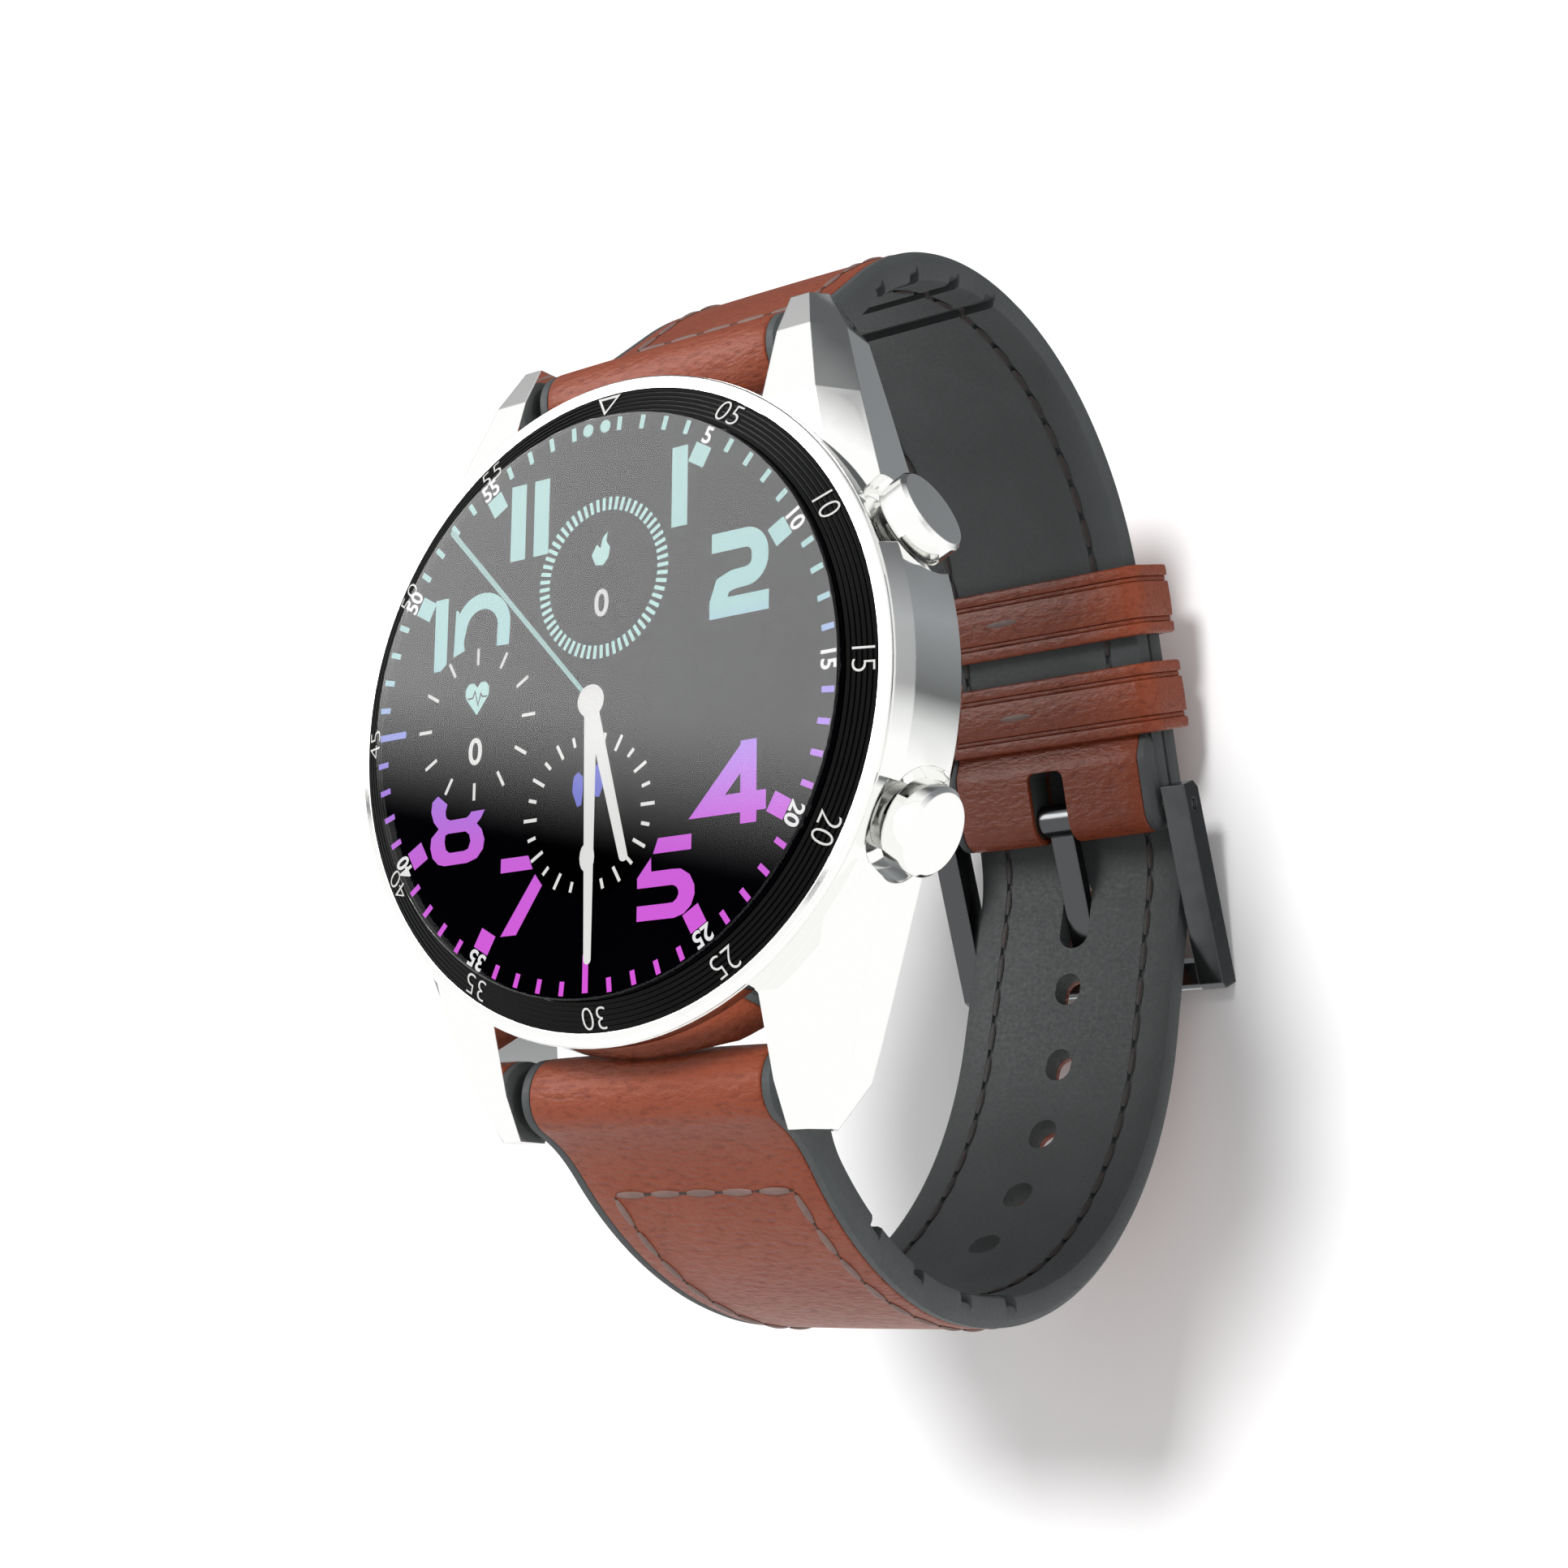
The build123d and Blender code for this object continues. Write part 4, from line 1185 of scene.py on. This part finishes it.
@dataclass
class Dial:
    """Everything that is drawn under the glass or on the sloping ring round it."""

    datum: Datum
    ring_inner: float = 19.8
    ring_outer: float = 21.7
    ring_inner_top: float = 0.4
    ring_outer_top: float = -0.27
    layer_step: float = 0.006
    print_lift: float = 0.02
    letter_lift: float = 0.03
    zero_size: float = 2.6
    minute_size: float = 1.6
    minute_radius: float = 18.95
    numeral_size: float = 2.25

    def ring_height(self, radius: float) -> float:
        """Height of the ring's slope at a radius."""
        share = (radius - self.ring_inner) / (self.ring_outer - self.ring_inner)
        return self.ring_inner_top + (self.ring_outer_top - self.ring_inner_top) * share

    def build(self, inks: dict[str, bpy.types.Material], print_white: bpy.types.Material) -> None:
        """Build the picture, the small numbers and the ring's numerals."""
        picture = Picture(self.datum)
        picture.digits()
        picture.track()
        picture.small_dials()
        picture.hands()
        order = ["ink", "dark", "pale", "white", "violet", "line", "white_hand", "mint_hand"]
        for i, layer in enumerate(order):
            picture.emit(layer, inks[layer], self.layer_step * i)
        hub = Picture(self.datum)
        hub.disc("hub", 0.0, 0.0, 1.1)
        hub.emit("hub", inks["white"], 0.06)
        letters = Lettering(self.datum)
        x0, y0 = picture.offset
        for x, y, name in ((0.75, 6.5, "top"), (-10.2, -2.2, "left"), (-0.05, -10.6, "low")):
            place = Matrix.Translation((x + x0, y + y0, picture.height + self.letter_lift))
            letters.number(f"zero_{name}", "0", self.zero_size, place, -0.05, inks["white"])
        for minute in (5, 10, 15, 20, 25, 35, 40, 50, 55):
            turn = math.radians(90 - 6 * minute)
            place = (Matrix.Translation((x0, y0, picture.height + self.letter_lift))
                     @ Matrix.Rotation(turn - math.pi / 2, 4, "Z")
                     @ Matrix.Translation((0, self.minute_radius, 0)))
            letters.number(f"minute_{minute}", str(minute), self.minute_size, place, -0.04, inks["bold"])
        self.ring_numerals(letters, print_white)

    def ring_numerals(self, letters: Lettering, print_white: bpy.types.Material) -> None:
        """Numerals of the ring, with their tops outward, and its open triangle at 12."""
        slope = math.atan2(self.ring_outer_top - self.ring_inner_top, self.ring_outer - self.ring_inner)
        radius = (self.ring_inner + self.ring_outer) / 2
        for minute in range(5, 60, 5):
            turn = math.radians(90 - 6 * minute)
            place = (Matrix.Rotation(turn - math.pi / 2, 4, "Z")
                     @ Matrix.Translation((0, radius, self.ring_height(radius) + self.print_lift))
                     @ Matrix.Rotation(slope, 4, "X"))
            letters.number(f"ring_{minute:02d}", f"{minute:02d}", self.numeral_size, place, 0.035,
                           print_white)
        verts, faces = [], []
        corners = [(0.0, self.ring_inner + 0.28), (0.98, self.ring_outer - 0.1),
                   (-0.98, self.ring_outer - 0.1)]
        middle = (0.0, self.ring_outer - 0.72)
        for x, y in corners:
            for shrink in (1.0, 0.66):
                px, py = middle[0] + (x - middle[0]) * shrink, middle[1] + (y - middle[1]) * shrink
                verts.append(self.datum.at(px, py, self.ring_height(py) + self.print_lift))
        for i in range(3):
            a, b = i * 2, (i + 1) % 3 * 2
            faces.append((a, b, b + 1, a + 1))
        piece("ring_triangle", verts, faces, print_white, Body.CASE)


# ---------------------------------------------------------------- studio

@dataclass
class Studio:
    """Plain pale floor, soft light and the camera."""

    datum: Datum
    lens: float = 54.23
    camera_place: tuple[float, float, float] = (97.946, -38.234, 116.187)
    right: tuple[float, float, float] = (0.81384421, 0.00342089, -0.58107306)
    up: tuple[float, float, float] = (0.12046695, 0.97726412, 0.17447795)
    back: tuple[float, float, float] = (0.56846872, -0.21199797, 0.79492864)
    veil_strength: float = 9.8
    veil_height: float = 300.0
    veil_edge: float = 38.0
    veil_size: tuple[float, float] = (300.0, 230.0)
    veil_place: tuple[float, float] = (-270.0, 65.8)
    veil_turn: float = -14.0
    flag_centre: tuple[float, float] = (-252.8, 98.6)
    flag_radius: float = 71.0
    flag_gap: float = 3.0
    floor_reach: float = 12.0
    sky_seen: float = 1.06
    sky_fill: float = 0.66
    key_power: float = 2.5
    key_angle: float = 13.0
    key_from: tuple[float, float, float] = (30.0, 171.0, 418.0)

    def camera(self) -> None:
        """Camera at the viewing angle."""
        data = bpy.data.cameras.new("camera")
        data.lens = self.lens
        data.sensor_width = 36.0
        data.clip_start, data.clip_end = 0.01, 20.0
        thing = bpy.data.objects.new("camera", data)
        rows = Matrix((self.right, self.up, self.back)).transposed()
        thing.matrix_world = Matrix.Translation(self.datum.at(*self.camera_place)) @ rows.to_4x4()
        bpy.context.scene.collection.objects.link(thing)
        bpy.context.scene.camera = thing

    def plane(self, name: str, corners: list[Vector], material: bpy.types.Material) -> bpy.types.Object:
        """Flat stage piece through a ring of corners."""
        mesh = bpy.data.meshes.new(name)
        mesh.from_pydata([tuple(c) for c in corners], [], [tuple(range(len(corners)))])
        mesh.materials.append(material)
        thing = bpy.data.objects.new(name, mesh)
        bpy.context.scene.collection.objects.link(thing)
        return thing

    def floor(self) -> None:
        """Matt white paper floor under the watch."""
        reach = self.floor_reach
        corners = [Vector((x * reach, y * reach, 0.0)) for x, y in ((-1, -1), (1, -1), (1, 1), (-1, 1))]
        # Uncoated paper: flat white with no shine.
        paper = Moulded("white_paper_sweep", "F7F7F7", "F9F9F9", 0.9, 2.0, 0.01, 40.0)
        thing = self.plane("floor", corners, paper.make())
        thing.visible_glossy = False

    def key(self) -> None:
        """Distant soft lamp nearly overhead, which draws the shadow beside the strap."""
        data = bpy.data.lights.new("overhead_lamp", "SUN")
        data.angle = math.radians(self.key_angle)
        data.energy = self.key_power
        thing = bpy.data.objects.new("overhead_lamp", data)
        bpy.context.scene.collection.objects.link(thing)
        place = self.datum.at(*self.key_from)
        aim = self.datum.at(0.0, 0.0, -35.0) - place
        thing.matrix_world = Matrix.Translation(place) @ aim.to_track_quat("-Z", "Y").to_matrix().to_4x4()
        thing.visible_glossy = False

    def veil(self) -> None:
        """Strip box that the glass mirrors, with a soft near edge, and the black flag beside it."""
        material, tree = new_material("softbox_cloth")
        coords = add(tree, "ShaderNodeTexCoord")
        split = add(tree, "ShaderNodeSeparateXYZ", links={"Vector": coords.outputs["Object"]})
        fall = add(tree, "ShaderNodeMapRange", {"From Min": 0.0, "From Max": self.veil_edge * MM,
                                                "interpolation_type": "SMOOTHSTEP"},
                   {"Value": split.outputs["Y"]})
        power = add(tree, "ShaderNodeMath", {"operation": "MULTIPLY", 1: self.veil_strength},
                    {0: fall.outputs["Result"]})
        glow = add(tree, "ShaderNodeEmission", {"Color": (1.0, 1.0, 1.0, 1.0)},
                   {"Strength": power.outputs["Value"]})
        close_tree(tree, glow.outputs["Emission"])
        wide, deep = self.veil_size[0] * MM, self.veil_size[1] * MM
        corners = [Vector(c) for c in ((-wide / 2, 0, 0), (-wide / 2, deep, 0), (wide / 2, deep, 0),
                                       (wide / 2, 0, 0))]
        thing = self.plane("softbox", corners, material)
        place = self.datum.at(*self.veil_place, self.veil_height)
        turn = Matrix.Rotation(math.radians(self.veil_turn), 4, "Z")
        thing.matrix_world = Matrix.Translation(place) @ turn
        flag = self.flag()
        for card in (thing, flag):
            card.visible_camera = False
            card.visible_diffuse = False
            card.visible_shadow = False

    def flag(self) -> bpy.types.Object:
        """Round black card behind the strip box, which keeps the rest of the glass dark."""
        verts = [self.datum.at(self.flag_centre[0] + self.flag_radius * math.cos(math.pi * i / 32),
                               self.flag_centre[1] + self.flag_radius * math.sin(math.pi * i / 32),
                               self.veil_height + self.flag_gap) for i in range(64)]
        # Velvet on board: takes all light and gives none back.
        velvet = Moulded("black_velvet_flag", "000000", "010101", 1.0, 1.0, 0.0, 9.0, 1.0)
        return self.plane("black_flag", verts, velvet.make())

    def world(self) -> None:
        """White room above, grey towards the horizon and below."""
        world = bpy.data.worlds.new("studio")
        bpy.context.scene.world = world
        world.use_nodes = True
        tree = world.node_tree
        tree.nodes.clear()
        coords = add(tree, "ShaderNodeTexCoord")
        split = add(tree, "ShaderNodeSeparateXYZ", links={"Vector": coords.outputs["Generated"]})
        side = add(tree, "ShaderNodeMapRange", {"From Min": -0.12, "From Max": 0.75},
                   {"Value": split.outputs["Y"]})
        below = ramp(tree, side.outputs["Result"],
                     [(0.0, linear("FFFFFF")), (0.16, linear("D8DADA")), (0.3, linear("6A6C6D")),
                      (0.62, linear("94979A")), (1.0, linear("5C5E60"))])
        height = add(tree, "ShaderNodeMapRange", {"From Min": -0.1, "From Max": 0.34},
                     {"Value": split.outputs["Z"]})
        room = add(tree, "ShaderNodeMix", {"data_type": "RGBA", 7: linear("FFFFFF")},
                   {0: height.outputs["Result"], 6: below}).outputs[2]
        path = add(tree, "ShaderNodeLightPath")
        seen = add(tree, "ShaderNodeMix", {"data_type": "RGBA", 7: linear("FFFFFF")},
                   {0: path.outputs["Is Camera Ray"], 6: room})
        dim = add(tree, "ShaderNodeMapRange", {"To Min": self.sky_seen, "To Max": self.sky_fill},
                  {"Value": path.outputs["Is Diffuse Ray"]})
        sky = add(tree, "ShaderNodeBackground", links={"Color": seen.outputs[2],
                                                       "Strength": dim.outputs["Result"]})
        add(tree, "ShaderNodeOutputWorld", links={"Surface": sky.outputs["Background"]})

    def build(self) -> None:
        """Set up the studio."""
        self.camera()
        self.floor()
        self.key()
        self.veil()
        self.world()
        view = bpy.context.scene.view_settings
        view.view_transform = "Standard"
        view.look = "None"
        LOG.info("studio: floor, softbox, world and camera")


# ---------------------------------------------------------------- CAD parts

def dress_frame(finishes: dict[str, bpy.types.Material]) -> None:
    """Give each carried-over CAD node its finish.

    Args:
        finishes: finish for each slot name of the record.
    """
    slots = {}
    for entry in frame["record"]["materials"]:
        for node in entry.get("nodes", []):
            slots[node] = entry["slot"]
    for name, thing in frame["nodes"].items():
        slot = slots.get(name, thing.active_material.name if thing.active_material else "")
        material = finishes.get(slot) or finishes.get(slot.split(".")[0])
        if material is None:
            LOG.warning("%s has no finish for slot %s", name, slot)
            continue
        thing.data.materials.clear()
        thing.data.materials.append(material)
        LOG.info("%s dressed as %s", name, material.name)


def frame_finishes() -> dict[str, bpy.types.Material]:
    """Finish of every slot that the record names."""
    makers = {
        # Stainless steel, polished on a wheel: near-mirror, edges slightly rounded.
        "polished_steel": Metal("polished_stainless_steel", "F8F8F6", 0.06, 0.12),
        # Stainless steel, turned: soft, slightly streaked shine.
        "satin_steel": Metal("turned_stainless_steel", "C9C9C6", 0.28, 0.05, (0.2, 1.6, 0.2), 0.004),
        # Steel with a dark vapour-deposited coat: deep grey mirror with bright edges.
        "gunmetal": Metal("vapour_coated_steel", "525354", 0.17, 0.16),
        # Gold flash on brass pins.
        "gold": Metal("gold_plated_brass", "E3B85C", 0.18, 0.05),
        # Music wire, drawn: dull grey lines along the wire.
        "spring_steel": Metal("drawn_spring_steel", "A9A9A6", 0.3, 0.03, (0.3, 0.3, 0.3), 0.003),
        # Aluminosilicate sheet, lapped and polished: clear, with one sharp reflection.
        "glass": ClearGlass("lapped_cover_glass"),
        # Tinted sensor window, ground to a dome: dark until looked at square on.
        "sensor_glass": ClearGlass("domed_sensor_glass", "3A3D42"),
        # Bonded display stack when unlit: deep black with a faint cool cast.
        "display": Moulded("bonded_display_stack", "010102", "020204", 0.8, 1.0, 0.001, 20.0, 1.0),
        # Anodised aluminium ring, turned: black satin with concentric lines cut in it.
        "dial_black": Moulded("black_anodised_ring", "040504", "090A09", 0.32, 0.5, 0.004, 9.0, 1.18),
        # Calf leather, plated with a fine grain: warm brown, soft sheen on the bends.
        "leather": Leather(),
        # Moulded fluoro-elastomer with a sueded skin: soft dark grey, no sharp shine.
        "elastomer": Moulded("sueded_elastomer", "3B3E3F", "434647", 0.62, 0.34, 0.035, 9.0),
        # Glass-filled polyamide, spark-eroded mould: matt black with a fine sparkle.
        "black_polymer": Moulded("glass_filled_polyamide", "17181A", "1E2022", 0.5, 0.25, 0.02),
        # Solder mask on epoxy board: glossy green over copper tracks.
        "pcb": Moulded("solder_masked_board", "12402A", "1C5A3A", 0.3, 0.8, 0.02, 1.6),
        # Transfer-moulded epoxy: dull black with a faint grain.
        "chip": Moulded("moulded_chip_epoxy", "1B1B1D", "232326", 0.55, 0.12, 0.01),
        # Aluminium laminate, heat sealed: pale silver with shallow creases.
        "battery": Moulded("pouch_cell_foil", "A9ACAE", "B9BCBE", 0.35, 2.5, 0.08, 5.0),
        # Compression-moulded nitrile: soft black without shine.
        "seal_rubber": Moulded("moulded_nitrile_seal", "131314", "1A1A1B", 0.6, 0.3, 0.01),
        # Cast clear epoxy over a green die: small glossy lens.
        "diode": Moulded("epoxy_diode_lens", "5E6B3C", "7C8F45", 0.2, 0.6, 0.005, 1.2),
    }
    return {slot: maker.make() for slot, maker in makers.items()}


def display_inks(datum: Datum) -> dict[str, bpy.types.Material]:
    """Finishes of the lit picture."""
    middle, reach = datum.origin.y, 20 * MM
    run = ((0.0, "DC58DE"), (0.26, "CB66DA"), (0.40, "A77FE0"), (0.52, "8C9CD8"), (0.62, "9AC2C2"),
           (1.0, "A2C6C2"))
    ink = LitInk("display_gradient_light", run, middle, reach)
    pale = EvenInk("display_mint_light", "A8CCC8")
    white = LitInk("display_white_light", ((0.0, "E6E6E4"), (0.45, "DCDCDA"), (0.6, "C6C4C4"),
                                           (1.0, "C6C4C4")), middle, reach)
    violet = EvenInk("display_violet_light", "6F74C8")
    mint = EvenInk("display_second_hand_light", "8DB0AE")
    dark = EvenInk("display_unlit_disc", "010101")
    made = {"ink": ink.make(), "pale": pale.make(), "white": white.make(), "violet": violet.make(),
            "mint_hand": mint.make(), "dark": dark.make()}
    made["white_hand"] = made["white"]
    made["line"] = made["dark"]
    made["bold"] = EvenInk("display_label_light", "E8E6E8").make()
    return made


def main() -> None:
    """Build the watch and its studio."""
    logging.basicConfig(level=logging.INFO, format="%(name)s: %(message)s")
    datum = Datum.from_frame()
    finishes = frame_finishes()
    dress_frame(finishes)
    # Waxed polyester thread, laid flat by the needle: dull mauve grey against the leather.
    thread = Moulded("waxed_polyester_thread", "6A534D", "785F59", 0.6, 0.15, 0.03, 1.2).make()
    # The same thread dyed near black, sewn in the inner seams on the lining. It also draws the thin dark line
    # under the outer stitches, which is painted shade of the stitch groove, not thread.
    dark_thread_and_seam_shade = Moulded("dark_thread_and_painted_seam_shade", "241C1A", "2E2624", 0.6, 0.15, 0.03, 1.2).make()
    # Pad-printed enamel on the ring: light grey, slightly raised.
    enamel = Moulded("pad_printed_enamel", "C2C2C0", "CACAC8", 0.5, 0.3, 0.005).make()
    Dial(datum).build(display_inks(datum), enamel)
    UpperStrap("upper", Body.UPPER_STRAP, datum, [(25.0, -7.4), (59.5, -48.0), (2.5, -63.27)], [25.6],
               2.4, 13.0, (13.6, 19.6, 26.1, 31.6)).build(
                   finishes["leather"], finishes["elastomer"], thread, dark_thread_and_seam_shade)
    LowerStrap("lower", Body.LOWER_STRAP, datum,
               [(-25.0, -7.4), (-74.1, -47.5), (-1.7, -66.95), (24.16, -60.0), (27.4, -58.28)],
               [30.4, 12.0, 28.0], 2.3, 7.0, (13.1, 19.6, 26.4, 32.7)).build(
                   finishes["leather"], finishes["elastomer"], thread, dark_thread_and_seam_shade)
    Keeper("fixed_loop", "fixed_keeper", Body.UPPER_STRAP, datum).build(finishes["leather"], thread)
    Keeper("free_loop", "free_keeper", Body.LOOSE_KEEPER, datum).build(finishes["leather"], thread)
    Studio(datum).build()


if __name__ == "__main__":
    main()
